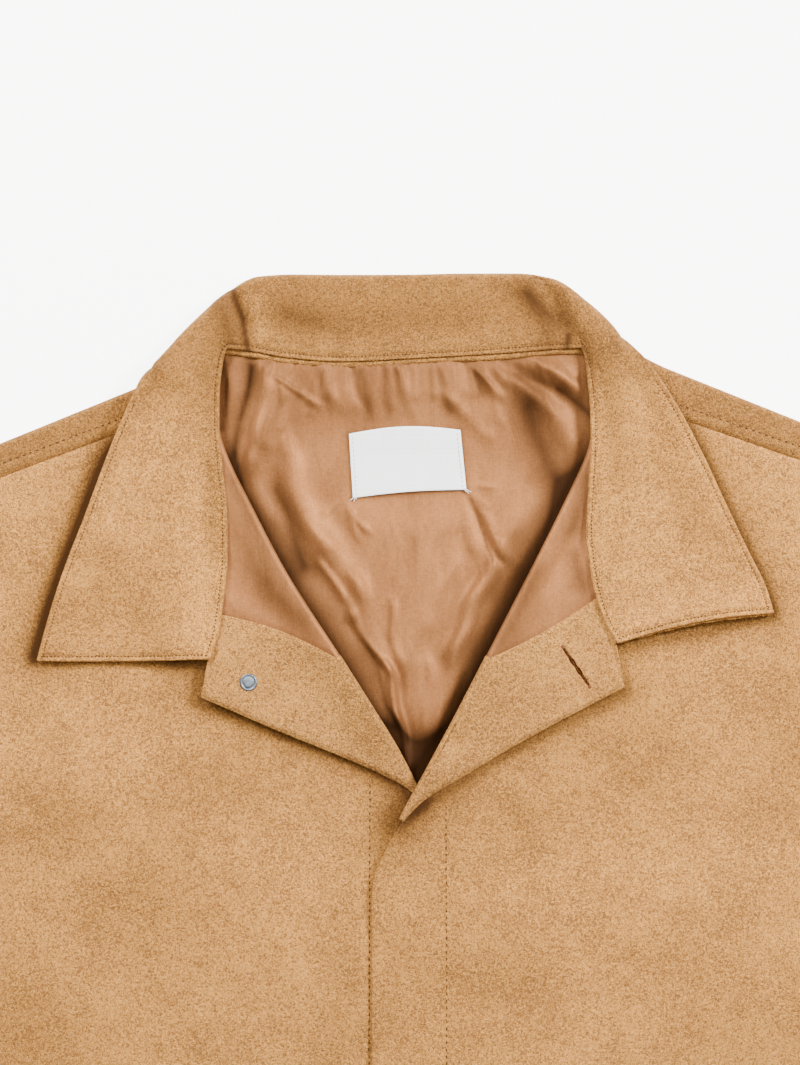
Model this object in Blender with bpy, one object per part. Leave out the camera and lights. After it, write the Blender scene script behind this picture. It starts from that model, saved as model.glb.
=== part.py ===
"""A suede overshirt jacket that lies on its back, front up, with its collar and lapels open.

It lies on Z = 0 with its collar towards +Y. All tables are in millimetres: X across the garment,
Y from the back neck seam towards the collar, heights above the surface that it lies on.
Left and right are the wearer's, so the right half lies on the -X side.
"""

import math
from collections import namedtuple

import bmesh
import bpy
from mathutils import Vector

MM = 0.001

# Thickness of each cloth and the gap between neighbouring pieces.
SUEDE = 1.2
LINING = 1.0
FACING = 1.0
COLLAR = 2.2
LABEL = 1.0
GAP = 0.3

# Whole garment.
HEM_Y = -700.0
COLLAR_TOP_Y = 42.0
SHOULDER_X = 238.0
UNDERARM_Y = -290.0
SLEEVE_LENGTH = 505.0
SLEEVE_ANGLE = 45.0
SLEEVE_STATIONS = 10
CUFF_WIDTH = 125.0

# The sleeve's crown from the shoulder point, and its lower edge as a share of its length.
CROWN = (160.0, -96.0)
LOWER_EDGE = 0.84

# The front's strip that comes under the back past the side fold.
UNDER_STRIP = 3.0

# Heights of the layers' middles.
BACK_Z = SUEDE / 2
LINING_Z = 2.2
FRONT_Z = 5.0
LAPEL_RISE = SUEDE + GAP
COVER_RISE = LAPEL_RISE + SUEDE / 2 + GAP + FACING / 2
LIP_DROP = SUEDE / 2 + GAP + FACING / 2
COLLAR_RISE = SUEDE / 2 + GAP + COLLAR / 2

# The lapel's cover rolls round the front's folded edge on this radius, and ends under the front.
ROLL_RADIUS = (COVER_RISE + LIP_DROP) / 2
ROLL_REACH = ROLL_RADIUS + FACING / 2
LIP_WIDTH = 9.0
NECK_CLEARANCE = 0.9
LAPEL_LIFT = 2.6
LIFT_REACH = 75.0

# Cells of a lapel's plan: down its lining, down its facing, across it, and across the facing.
LINING_CELLS = 6
FACING_CELLS = 4
ACROSS_CELLS = 5
STRIP_WIDTH_CELLS = 3

# The collar's fall lies under the back's neck, which rises over it.
NECK_RISE = 2.5

# Steel rivet on the right facing, and the plain head that it holds under the lapel.
RIVET_AT = (-76.6, -158.8)
RIVET_RADIUS = 4.3
RIVET_HEIGHT = 0.8
HEAD_RADIUS = 6.0
HEAD_HEIGHT = 0.9
PLATE_BEVEL = 0.25
ROUND_STEPS = 32

LiningRow = namedtuple("LiningRow", "y x_right x_left")
Fold = namedtuple("Fold", "x0 y0 x1 y1 height width")
Station = namedtuple("Station", "seam_x seam_y seam_z reach_x reach_y bend strip fall rise")

# Seam between the back's collar and lining, right to left across the neck.
NECK_SEAM = [(-88, 5.2), (-73, 3.4), (-55, 0.2), (-32, -1.3), (0, 0.0), (47, 2.7), (68, 4.4), (86, 5.4)]

# Half of the body's width at its armhole and side, from the hem up to the shoulder point.
SIDE = [(HEM_Y, 272), (-600, 272), (-450, 275), (UNDERARM_Y, 281), (-220, 262), (-150, 249),
        (-100, 242), (-58, SHOULDER_X)]

# Everything that differs between the two halves. x runs outwards on both.
Half = namedtuple("Half", "name sign shoulder forward_seam roll neck_edge corner front_edge "
                          "seam_end seam_bow edge_split hem_edge")

RIGHT = Half(
    name="right", sign=-1,
    shoulder=((92, 1.6), (SHOULDER_X, -57.7)),
    forward_seam=((93, -18.6), (SHOULDER_X, -73.2)),
    roll=[(85.5, -50), (77.5, -67), (57.5, -105), (32.5, -144), (18, -167), (5, -188), (-4.5, -206)],
    neck_edge=[(91.7, -30), (90.4, -50), (88, -72), (87.2, -89), (89.4, -119), (91.6, -134), (94, -144)],
    corner=(99.7, -166),
    front_edge=[(99.7, -166), (61, -182.8), (18.6, -200.4), (-0.8, -210.5)],
    seam_end=0.61, seam_bow=3.0, edge_split=(43, -190.3),
    hem_edge=[(-12, -222), (-21, -250)],
)
LEFT = Half(
    name="left", sign=1,
    shoulder=((92, 9.7), (SHOULDER_X, -48.7)),
    forward_seam=((93, -14.9), (SHOULDER_X, -65.2)),
    roll=[(86.5, -52), (72.5, -81), (53.2, -118.6), (35, -154), (20, -182.8), (6, -208.5), (0.5, -218.5)],
    neck_edge=[(92.1, -30), (91.5, -50), (89.4, -81), (89.4, -90), (93.8, -117), (97.5, -129), (101.3, -139)],
    corner=(107, -161),
    front_edge=[(107, -161), (67.6, -181.8), (28.8, -204.2), (11.3, -214.5), (3.4, -223.5)],
    seam_end=0.56, seam_bow=-2.0, edge_split=(48, -193),
    hem_edge=[(-7, -237), (-16, -262)],
)

# The collar, from the wearer's right point round the neck to the left point. Seam point and its
# height, the outermost point seen from above, the bend of the outer strip in degrees, that strip's
# length, the length of cloth past it, and how far the middle of the leaf rises.
COLLAR_STATIONS = [
    Station(-96.0, -147, 7.2, -179.8, -148.0, 0, 6.0, 3.0, 0.4),
    Station(-91.8, -134, 7.2, -173.5, -126.0, 0, 6.0, 3.0, 0.8),
    Station(-89.4, -117, 7.2, -165.5, -102.0, 0, 6.0, 3.0, 1.2),
    Station(-87.6, -97, 7.2, -156.0, -77.4, 0, 6.0, 3.0, 1.4),
    Station(-87.8, -76, 7.2, -147.5, -54.5, 0, 6.0, 3.0, 1.6),
    Station(-90.0, -54, 7.2, -138.7, -32.3, 0, 6.0, 3.0, 1.8),
    Station(-91.6, -36, 7.2, -132.0, -17.0, 5, 6.0, 3.0, 2.0),
    Station(-91.6, -26, 7.2, -129.0, -10.0, 25, 6.0, 3.0, 2.1),
    Station(-91.4, -16, 7.2, -124.0, -4.0, 100, 9.0, 2.0, 2.2),
    Station(-90.4, -6, 7.4, -114.5, 7.0, 180, 15.0, 5.0, 2.0),
    Station(-89.0, 2, 7.0, -101.5, 20.5, 180, 16.0, 12.0, 1.4),
    Station(-86.6, 5.2, 6.0, -84.5, 34.5, 180, 12.0, 24.0, 0.8),
    Station(-76.0, 3.9, 5.2, -71.5, 40.5, 180, 8.0, 30.0, 0.3),
    Station(-58.0, 0.7, 4.9, -55.0, 41.5, 180, 6.0, 42.0, 0.0),
    Station(-32.0, -1.3, 4.9, -31.0, 41.3, 180, 6.0, 44.0, 0.0),
    Station(0.0, 0.0, 4.9, 0.0, 41.4, 180, 6.0, 44.0, 0.0),
    Station(32.0, 1.8, 4.9, 31.0, 42.0, 180, 6.0, 42.0, 0.0),
    Station(58.0, 3.6, 4.9, 55.0, 42.0, 180, 6.0, 38.0, 0.0),
    Station(76.0, 4.9, 5.2, 72.0, 39.5, 180, 8.0, 25.0, 0.3),
    Station(86.0, 5.4, 6.2, 88.7, 28.5, 180, 12.0, 8.0, 0.8),
    Station(88.6, 1, 7.4, 103.0, 15.0, 130, 11.0, 2.0, 1.4),
    Station(89.8, -10, 7.2, 115.0, 2.0, 15, 6.0, 3.0, 2.0),
    Station(91.2, -24, 7.2, 124.0, -10.0, 0, 6.0, 3.0, 2.0),
    Station(91.6, -42, 7.2, 134.5, -27.0, 0, 6.0, 3.0, 1.8),
    Station(90.4, -64, 7.2, 146.3, -49.8, 0, 6.0, 3.0, 1.6),
    Station(89.4, -85, 7.2, 156.5, -72.0, 0, 6.0, 3.0, 1.4),
    Station(92.0, -108, 7.2, 167.5, -95.0, 0, 6.0, 3.0, 1.4),
    Station(97.0, -126, 7.2, 175.5, -111.0, 0, 6.0, 3.0, 2.0),
    Station(103.9, -139.2, 7.2, 179.8, -124.5, 0, 6.0, 3.0, 3.0),
]
STAND_CELLS = 5
STRIP_CELLS = 4
FALL_CELLS = 2

# The back's lining reaches a little way under the fronts on all sides of the open neck.
LINING_CLEARANCE = 1.12
LINING_ROWS = [LiningRow(-18, -103, 103), LiningRow(-50, -111, 111), LiningRow(-100, -98, 98),
               LiningRow(-150, -75, 75), LiningRow(-200, -47, 48), LiningRow(-238, -26, 28)]
LINING_FOLDS = [
    Fold(-66, -14, -58, -74, 2.4, 9), Fold(-44, -12, -50, -42, 1.6, 8), Fold(36, -12, 62, -34, 2.0, 9),
    Fold(4, -12, -6, -26, 1.2, 9), Fold(-34, -84, -14, -150, 2.2, 10), Fold(36, -80, 20, -140, 2.2, 10),
    Fold(-2, -96, 2, -170, 1.4, 9), Fold(66, -40, 48, -76, 1.8, 9),
]
BINDING_WIDTH = 4.6

# The label's corners, right top, left top, left bottom, right bottom, and the bow of its top edge.
LABEL_CORNERS = [(-27.4, -37.2), (27.0, -35.3), (29.0, -65.0), (-25.6, -68.2)]
LABEL_BOW = 2.6


def clamp(value):
    return min(max(value, 0.0), 1.0)


def smooth(start, end, value):
    """Rise from 0 at start to 1 at end with level ends."""
    share = clamp((value - start) / (end - start))
    return share * share * (3 - 2 * share)


def mix(a, b, share):
    return tuple(p + (q - p) * share for p, q in zip(a, b))


def unit(vector):
    length = math.hypot(*vector)
    return tuple(part / length for part in vector)


def line_y(line, x):
    """Height of a straight line given by two points, at x."""
    (x0, y0), (x1, y1) = line
    return y0 + (y1 - y0) * (x - x0) / (x1 - x0)


def table_value(table, key):
    """Read a two-column table at key by straight lines between its rows."""
    rows = sorted(table)
    key = min(max(key, rows[0][0]), rows[-1][0])
    for low, high in zip(rows, rows[1:]):
        if key <= high[0]:
            return mix(low[1:], high[1:], (key - low[0]) / (high[0] - low[0]))[0]
    return rows[-1][1]


def curve(points, samples=16):
    """A smooth line through the points, as a dense list."""
    padded = [points[0]] + list(points) + [points[-1]]
    line = []
    for a, b, c, d in zip(padded, padded[1:], padded[2:], padded[3:]):
        for step in range(samples):
            t = step / samples
            line.append(tuple(
                0.5 * (2 * q + (r - p) * t + (2 * p - 5 * q + 4 * r - s) * t * t
                       + (3 * q - p - 3 * r + s) * t * t * t)
                for p, q, r, s in zip(a, b, c, d)))
    line.append(tuple(points[-1]))
    return line


def along(line, share):
    """The point at a share of the line's length."""
    steps = [math.dist(a, b) for a, b in zip(line, line[1:])]
    left = clamp(share) * sum(steps)
    for a, b, step in zip(line, line[1:], steps):
        if left <= step:
            return mix(a, b, left / step if step else 0.0)
        left -= step
    return line[-1]


def between(line, start, end, cells):
    return [along(line, start + (end - start) * step / cells) for step in range(cells + 1)]


def share_at(line, point):
    """The share of the line's length at the place nearest the point."""
    shares = [step / 400 for step in range(401)]
    return min(shares, key=lambda share: math.dist(along(line, share), point))


def material(name, colour, roughness, metallic=0.0):
    made = bpy.data.materials.new(name)
    made.use_nodes = True
    shader = made.node_tree.nodes["Principled BSDF"]
    shader.inputs["Base Color"].default_value = (*colour, 1.0)
    shader.inputs["Roughness"].default_value = roughness
    shader.inputs["Metallic"].default_value = metallic
    return made


def middle_surface(patches):
    """One open mesh from grids of points, joined where their points meet."""
    surface = bmesh.new()
    known = {}

    def vertex(point):
        key = tuple(round(part, 3) for part in point)
        if key not in known:
            known[key] = surface.verts.new(point)
        return known[key]

    for rows in patches:
        for low, high in zip(rows, rows[1:]):
            for a, b, c, d in zip(low, low[1:], high[1:], high):
                for corner_points in ((a, b, c), (a, c, d)):
                    corners = {vertex(point): None for point in corner_points}
                    if len(corners) == 3:
                        surface.faces.new(corners)
    bmesh.ops.recalc_face_normals(surface, faces=surface.faces[:])
    surface.normal_update()
    return surface


def sheet(name, patches, thickness, finish):
    """A closed wall of the thickness around a middle surface."""
    surface = middle_surface(patches)
    wall = bmesh.new()
    sides = []
    for direction in (0.5, -0.5):
        sides.append({
            v: wall.verts.new((v.co + v.normal * thickness * direction) * MM) for v in surface.verts})
    upper, lower = sides
    for face in surface.faces:
        wall.faces.new([upper[v] for v in face.verts])
        wall.faces.new([lower[v] for v in reversed(face.verts)])
    for edge in surface.edges:
        if edge.is_boundary:
            loop = edge.link_loops[0]
            a, b = loop.vert, loop.link_loop_next.vert
            wall.faces.new([upper[b], upper[a], lower[a], lower[b]])
    bmesh.ops.recalc_face_normals(wall, faces=wall.faces[:])
    surface.free()
    return place(name, wall, finish)


def place(name, body, finish):
    """Link a finished body, with the garment's outline centred on the origin."""
    middle_y = (HEM_Y + COLLAR_TOP_Y) / 2 * MM
    bmesh.ops.translate(body, verts=body.verts[:], vec=Vector((0.0, -middle_y, 0.0)))
    mesh = bpy.data.meshes.new(name)
    body.to_mesh(mesh)
    body.free()
    mesh.materials.append(finish)
    mesh.shade_smooth()
    mesh.set_sharp_from_angle(angle=math.radians(50))
    made = bpy.data.objects.new(name, mesh)
    bpy.context.scene.collection.objects.link(made)
    return made


def half_round(centre, direction, low_z, high_z, cells):
    """Points of a half circle from the low layer round to the high one, bulging in the direction."""
    radius = (high_z - low_z) / 2
    points = []
    for step in range(cells + 1):
        angle = math.pi * step / cells
        reach = radius * math.sin(angle)
        points.append((centre[0] + direction[0] * reach, centre[1] + direction[1] * reach,
                       low_z + radius * (1 - math.cos(angle))))
    return points


# ---- Heights ----

def neck_rise(x, y):
    """How far the back's neck rises over the collar's fall."""
    across = 1 - clamp((abs(x) - 72) / 20)
    return NECK_RISE * across * clamp((y + 34) / 22)


def lap_rise(half, x, y):
    """The left front rises where it laps over the right one. x runs outwards."""
    if half.name == "right":
        return 0.0
    over = smooth(-185, -203, y) * (1 - smooth(26, 62, x))
    extra = (FACING + GAP) * (1 - smooth(-238, -290, y))
    return over * (SUEDE + GAP + extra)


def front_height(half, x, y):
    return FRONT_Z + lap_rise(half, x, y)


def lining_fold(x, y):
    """Height of the lining's gathers, which die away towards the fronts."""
    height = 0.0
    for fold in LINING_FOLDS:
        run = (fold.x1 - fold.x0, fold.y1 - fold.y0)
        length = math.hypot(*run)
        away = (x - fold.x0, y - fold.y0)
        share = (away[0] * run[0] + away[1] * run[1]) / (length * length)
        side = (away[0] * run[1] - away[1] * run[0]) / length
        past = (clamp(share) - share) * length
        height += fold.height * math.exp(-(side * side + past * past) / (fold.width * fold.width))
    return height


# ---- Body ----

def back_grid():
    """The back's rows from the hem up to its neck and shoulders, right side first."""
    seam = curve(NECK_SEAM)
    neck_x = [-72, -48, -24, 0, 24, 48, 72]
    outer_x = [238, 205, 165, 128, 92]
    columns = [-x for x in outer_x] + neck_x + outer_x[::-1]

    def top_y(x):
        if abs(x) < 90:
            return table_value(seam, x) - GAP / 2
        return line_y(RIGHT.shoulder if x < 0 else LEFT.shoulder, abs(x)) - fold_inset()

    rows = []
    shoulder_y = SIDE[-1][0]
    for y, half_width in SIDE:
        share_up = (y - HEM_Y) / (shoulder_y - HEM_Y)
        half_width -= side_inset() if y <= UNDERARM_Y else GAP / 2
        row = []
        for x in columns:
            rise = share_up * (1 - (x / SHOULDER_X) ** 8) if share_up < 1 else 1.0
            row.append((x / SHOULDER_X * half_width, y + (top_y(x) - shoulder_y) * rise))
        rows.append(row)
    below = rows[-2]
    top = rows.pop()
    for share in (0.35, 0.62, 0.82, 1.0):
        rows.append([mix(a, b, share) for a, b in zip(below, top)])
    return columns, [[(x, y, BACK_Z + neck_rise(x, y)) for x, y in row] for row in rows]


def fold_inset():
    """From a folded edge seen from above to the centre of its half round."""
    return (FRONT_Z - BACK_Z) / 2 + SUEDE / 2


def side_inset():
    """From the side fold to the back's edge, past the front's strip that comes under."""
    return fold_inset() + UNDER_STRIP + GAP


def build_back(finish):
    columns, rows = back_grid()
    patches = [rows]
    for half in (RIGHT, LEFT):
        chosen = [i for i, x in enumerate(columns) if x * half.sign > 90]
        (x0, y0), (x1, y1) = half.shoulder
        outward = unit((half.sign * (y0 - y1), x1 - x0))
        lines = []
        for i in chosen:
            edge = rows[-1][i]
            arc = half_round(edge, outward, edge[2], FRONT_Z, 3)
            seam_y = line_y(half.forward_seam, abs(edge[0])) + GAP / 2
            strip = [(edge[0], edge[1] + (seam_y - edge[1]) * share, FRONT_Z) for share in (0.5, 1.0)]
            lines.append(arc + strip)
        patches.append(lines)
    return sheet("back", patches, SUEDE, finish)


def roll_frames(half, roll, start, end, cells):
    """Centres of the roll and its outward directions, in plan, over a stretch of the roll line."""
    frames = []
    for step in range(cells + 1):
        share = start + (end - start) * step / cells
        point = along(roll, share)
        ahead = along(roll, share + 0.02)
        behind = along(roll, share - 0.02)
        tangent = unit((ahead[0] - behind[0], ahead[1] - behind[1]))
        outward = (tangent[1], -tangent[0])
        centre = (point[0] + outward[0] * -ROLL_REACH, point[1] + outward[1] * -ROLL_REACH)
        frames.append((centre, outward))
    return frames


def lapel_lift(half, roll, x, y):
    """The turned lapel lies higher towards its front edge."""
    reach = min(math.dist((x, y), point) for point in roll)
    return LAPEL_LIFT * clamp((reach - ROLL_REACH - 0.5) / LIFT_REACH) * smooth(-118, -150, y)


def lapel_plan(half):
    """Plan grids of a turned lapel. x runs outwards.

    lining: rows from the top to the facing's seam, each from the roll to the neck edge.
    strip: rows along the facing's seam from the roll to the neck, each to the front edge.
    tail: rows down the roll from the seam to the break, each to the front edge.
    """
    roll = curve(half.roll)
    neck = curve([(x - NECK_CLEARANCE, y) for x, y in half.neck_edge])
    front = curve(half.front_edge)
    neck_top = share_at(neck, (neck[0][0], half.roll[0][1] - 1.0))
    neck_seam = share_at(neck, (90, -126 if half.name == "right" else -118))
    split = share_at(front, half.edge_split)
    upper = roll_frames(half, roll, 0.0, half.seam_end, LINING_CELLS)
    lower = roll_frames(half, roll, half.seam_end, 1.0, FACING_CELLS)
    neck_points = between(neck, neck_top, neck_seam, LINING_CELLS)
    lining = []
    for (centre, _), edge in zip(upper, neck_points):
        lining.append([mix(centre, edge, step / ACROSS_CELLS) for step in range(ACROSS_CELLS + 1)])
    for step, (x, y) in enumerate(lining[-1]):
        bow = half.seam_bow * math.sin(math.pi * step / ACROSS_CELLS)
        lining[-1][step] = (x, y + bow)
    tail = []
    for (centre, _), edge in zip(lower, between(front, split, 1.0, FACING_CELLS)):
        tail.append([mix(centre, edge, step / STRIP_WIDTH_CELLS) for step in range(STRIP_WIDTH_CELLS + 1)])
    end_line = [neck_points[-1], neck[-1], half.corner]
    outer = between(front, split, 0.0, ACROSS_CELLS)
    strip = []
    for step, (seam_point, edge) in enumerate(zip(lining[-1], outer)):
        row = [mix(seam_point, edge, cell / STRIP_WIDTH_CELLS) for cell in range(STRIP_WIDTH_CELLS + 1)]
        if step == ACROSS_CELLS:
            row = between(end_line, 0.0, 1.0, STRIP_WIDTH_CELLS)
        strip.append(row)
    strip[0] = tail[0]
    return roll, upper, lower, lining, strip, tail


def lift_grid(half, roll, grid, rise):
    """Set a plan grid on the front, at a rise above the front's middle."""
    return [[(x * half.sign, y, front_height(half, x, y) + rise + lapel_lift(half, roll, x, y))
             for x, y in row] for row in grid]


def rolled(half, frames, low, high, cells, lip=None):
    """The half round over a stretch of the roll, with a lip under the front if one is given."""
    lines = []
    for centre, outward in frames:
        z = front_height(half, *centre)
        points = half_round(centre, outward, z + low, z + high, cells)
        if lip:
            under = (centre[0] - outward[0] * lip, centre[1] - outward[1] * lip)
            points.insert(0, (*under, front_height(half, *under) + low))
        lines.append([(x * half.sign, y, height) for x, y, height in points])
    return lines


def front_rows(half, frames):
    """Inner and outer plan points of the front's rows, from the shoulder seam to the hem."""
    side = sorted(SIDE, reverse=True)

    def outer(y):
        width = table_value(side, y)
        inset = fold_inset() if y <= UNDERARM_Y else GAP / 2
        return (width - inset, y)

    (x0, y0), (x1, y1) = half.forward_seam
    rows = [((x0 + 0.5, y0 - GAP / 2), (x1 - GAP / 2, y1 - GAP / 2)), ((x0 - 0.5, -34), outer(-100))]
    heights = [-110, -130, -150, -172, -196, -220, -238, -256, -274, UNDERARM_Y, -310]
    for (centre, _), y in zip(frames, heights):
        rows.append((centre, outer(y)))
    edge_x = half.hem_edge[-1][0]
    rows.append((half.hem_edge[0], outer(-340)))
    rows.append((half.hem_edge[1], outer(-380)))
    for inner_y, outer_y in ((-330, -450), (-450, -520), (-570, -600), (HEM_Y, HEM_Y)):
        rows.append(((edge_x, inner_y), outer(outer_y)))
    return rows


def build_front(half, finish):
    roll, upper, lower, lining, strip, tail = lapel_plan(half)
    frames = upper + lower[1:]
    rows = front_rows(half, frames)
    main = []
    for number, (inner, outer) in enumerate(rows):
        inward = unit((outer[0] - inner[0], outer[1] - inner[1]))
        rolled_row = 2 <= number < 2 + len(frames)
        lead = frames[number - 2][1] if rolled_row else None
        second = mix(inner, outer, LIP_WIDTH / math.dist(inner, outer))
        if lead:
            second = (inner[0] - lead[0] * LIP_WIDTH, inner[1] - lead[1] * LIP_WIDTH)
        plan = [inner] + [mix(second, outer, share) for share in (0, 0.07, 0.16, 0.3, 0.5, 0.72, 0.88, 1)]
        main.append([(x * half.sign, y, front_height(half, x, y)) for x, y in plan])
    side_rows = []
    for row in main:
        x, y, z = row[-1]
        if y <= UNDERARM_Y + 0.01:
            arc = half_round((x, y), (half.sign, 0.0), BACK_Z, z, 3)[::-1]
            side_rows.append(arc + [(x - half.sign * UNDER_STRIP, y, BACK_Z)])
    patches = [main, side_rows,
               rolled(half, frames, 0.0, LAPEL_RISE, 2),
               lift_grid(half, roll, lining, LAPEL_RISE),
               lift_grid(half, roll, strip, LAPEL_RISE),
               lift_grid(half, roll, tail, LAPEL_RISE)]
    return sheet("front_" + half.name, patches, SUEDE, finish)


def build_covers(half, suede, satin):
    """The facing and lining that cover the turned lapel, made from its points and moved out."""
    roll, upper, lower, lining, strip, tail = lapel_plan(half)
    backed = GAP / 2
    lining[-1] = [(x, y + backed) for x, y in lining[-1]]
    upper[-1] = ((upper[-1][0][0], upper[-1][0][1] + backed), upper[-1][1])
    strip = [[(row[0][0], row[0][1] - backed)] + row[1:] for row in strip]
    tail[0] = strip[0]
    lower[0] = ((lower[0][0][0], lower[0][0][1] - backed), lower[0][1])
    sheet("lining_" + half.name,
          [lift_grid(half, roll, lining, COVER_RISE),
           rolled(half, upper, -LIP_DROP, COVER_RISE, 4, LIP_WIDTH)], LINING, satin)
    sheet("facing_" + half.name,
          [lift_grid(half, roll, strip, COVER_RISE), lift_grid(half, roll, tail, COVER_RISE),
           rolled(half, lower, -LIP_DROP, COVER_RISE, 4, LIP_WIDTH)], FACING, suede)


# ---- Neck ----

def lining_grid():
    """Rows of the back's lining from the neck seam down."""
    seam = curve(NECK_SEAM)
    cells = 20
    rows = []
    for drop in (GAP / 2, BINDING_WIDTH + GAP / 2):
        row = []
        for step in range(cells + 1):
            x = -86 + 170 * step / cells
            row.append((x, table_value(seam, x) - drop))
        rows.append(row)
    table = [(row.y, row.x_right, row.x_left) for row in LINING_ROWS]
    lefts = [(y, left) for y, _, left in table]
    rights = [(y, right) for y, right, _ in table]
    for y in (-18, -30, -42, -56, -72, -88, -106, -126, -148, -172, -200, -238):
        right = table_value(rights, y)
        left = table_value(lefts, y)
        rows.append([(right + (left - right) * step / cells, y) for step in range(cells + 1)])
    return rows


def lining_height(x, y):
    under_label = smooth(44, 34, abs(x)) * smooth(-82, -74, y) * smooth(-18, -28, y)
    near_seam = smooth(-6, -16, y)
    near_front = smooth(96, 76, abs(x) - 0.46 * min(y + 40, 0.0) + 6)
    folds = lining_fold(x, y) * (1 - under_label) * near_seam * near_front
    return LINING_Z + LINING_CLEARANCE * neck_rise(0.96 * x, y + 2) + folds


def build_neck(satin, suede, woven):
    rows = [[(x, y, lining_height(x, y)) for x, y in row] for row in lining_grid()]
    sheet("lining_back", [rows], LINING, satin)
    rise = LINING + GAP
    binding = [[(x, y, z + rise) for x, y, z in row[1:-1]] for row in rows[:2]]
    sheet("neck_binding", [binding], LINING, suede)
    top_right, top_left, bottom_left, bottom_right = LABEL_CORNERS
    label = []
    for row in range(4):
        line = []
        for column in range(9):
            across = column / 8
            x, y = mix(mix(top_right, top_left, across), mix(bottom_right, bottom_left, across), row / 3)
            bow = LABEL_BOW * math.sin(math.pi * across) * (1 - row / 3)
            line.append((x, y + bow, lining_height(x, y + bow) + rise + 0.3))
        label.append(line)
    sheet("label", [label], LABEL, woven)


def collar_line(station):
    """One cross-section of the collar from its seam out over the bent strip to its far edge."""
    seam = (station.seam_x, station.seam_y)
    reach = (station.reach_x, station.reach_y)
    outward = unit((reach[0] - seam[0], reach[1] - seam[1]))
    bend = math.radians(station.bend)
    step = station.strip / STRIP_CELLS
    profile = [(0.0, 0.0)]
    for cell in range(STRIP_CELLS):
        angle = bend * (cell + 0.5) / STRIP_CELLS
        profile.append((profile[-1][0] + step * math.cos(angle), profile[-1][1] - step * math.sin(angle)))
    for _ in range(FALL_CELLS):
        step = station.fall / FALL_CELLS
        profile.append((profile[-1][0] + step * math.cos(bend), profile[-1][1] - step * math.sin(bend)))
    extent = max(reach_out for reach_out, _ in profile) + COLLAR / 2 * math.sin(min(bend, math.pi / 2))
    drop = -profile[STRIP_CELLS][1]
    top_z = COLLAR / 2 + drop
    if station.bend < 180:
        top_z = FRONT_Z + COLLAR_RISE + 0.6 + clamp(station.bend / 40) * 1.4 + drop * 0.4
    flat = math.dist(seam, reach) - extent
    line = []
    for cell in range(STAND_CELLS):
        share = cell / STAND_CELLS
        z = station.seam_z + (top_z - station.seam_z) * smooth(0, 1, share)
        z += station.rise * math.sin(math.pi * share)
        line.append((seam[0] + outward[0] * flat * share, seam[1] + outward[1] * flat * share, z))
    for away, down in profile:
        out = flat + away
        line.append((seam[0] + outward[0] * out, seam[1] + outward[1] * out, top_z + down))
    return line


def build_collar(finish):
    lines = [collar_line(station) for station in COLLAR_STATIONS]
    return sheet("collar", [lines], COLLAR, finish)


def build_plate(name, low, radius, height, steel):
    """A low round plate with a bevelled top edge, at the rivet's place."""
    x, y = RIVET_AT
    body = bmesh.new()
    rings = []
    for ring_radius, z in ((radius, low), (radius, low + height - PLATE_BEVEL),
                           (radius - PLATE_BEVEL, low + height)):
        ring = []
        for step in range(ROUND_STEPS):
            angle = 2 * math.pi * step / ROUND_STEPS
            ring.append(body.verts.new(Vector((x + ring_radius * math.cos(angle),
                                               y + ring_radius * math.sin(angle), z)) * MM))
        rings.append(ring)
    for lower, upper in zip(rings, rings[1:]):
        for step in range(ROUND_STEPS):
            after = (step + 1) % ROUND_STEPS
            body.faces.new([lower[step], lower[after], upper[after], upper[step]])
    body.faces.new(rings[0][::-1])
    body.faces.new(rings[-1])
    place(name, body, steel)


def build_rivet(steel):
    """The rivet's back on the facing, and its head under the lapel."""
    roll = curve(RIGHT.roll)
    x, y = RIVET_AT
    lapel = FRONT_Z + LAPEL_RISE + lapel_lift(RIGHT, roll, -x, y)
    facing_top = lapel + SUEDE / 2 + GAP + FACING
    build_plate("rivet", facing_top + GAP, RIVET_RADIUS, RIVET_HEIGHT, steel)
    build_plate("button_head", FRONT_Z + SUEDE / 2 + GAP, HEAD_RADIUS, HEAD_HEIGHT, steel)


# ---- Sleeves ----

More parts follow.
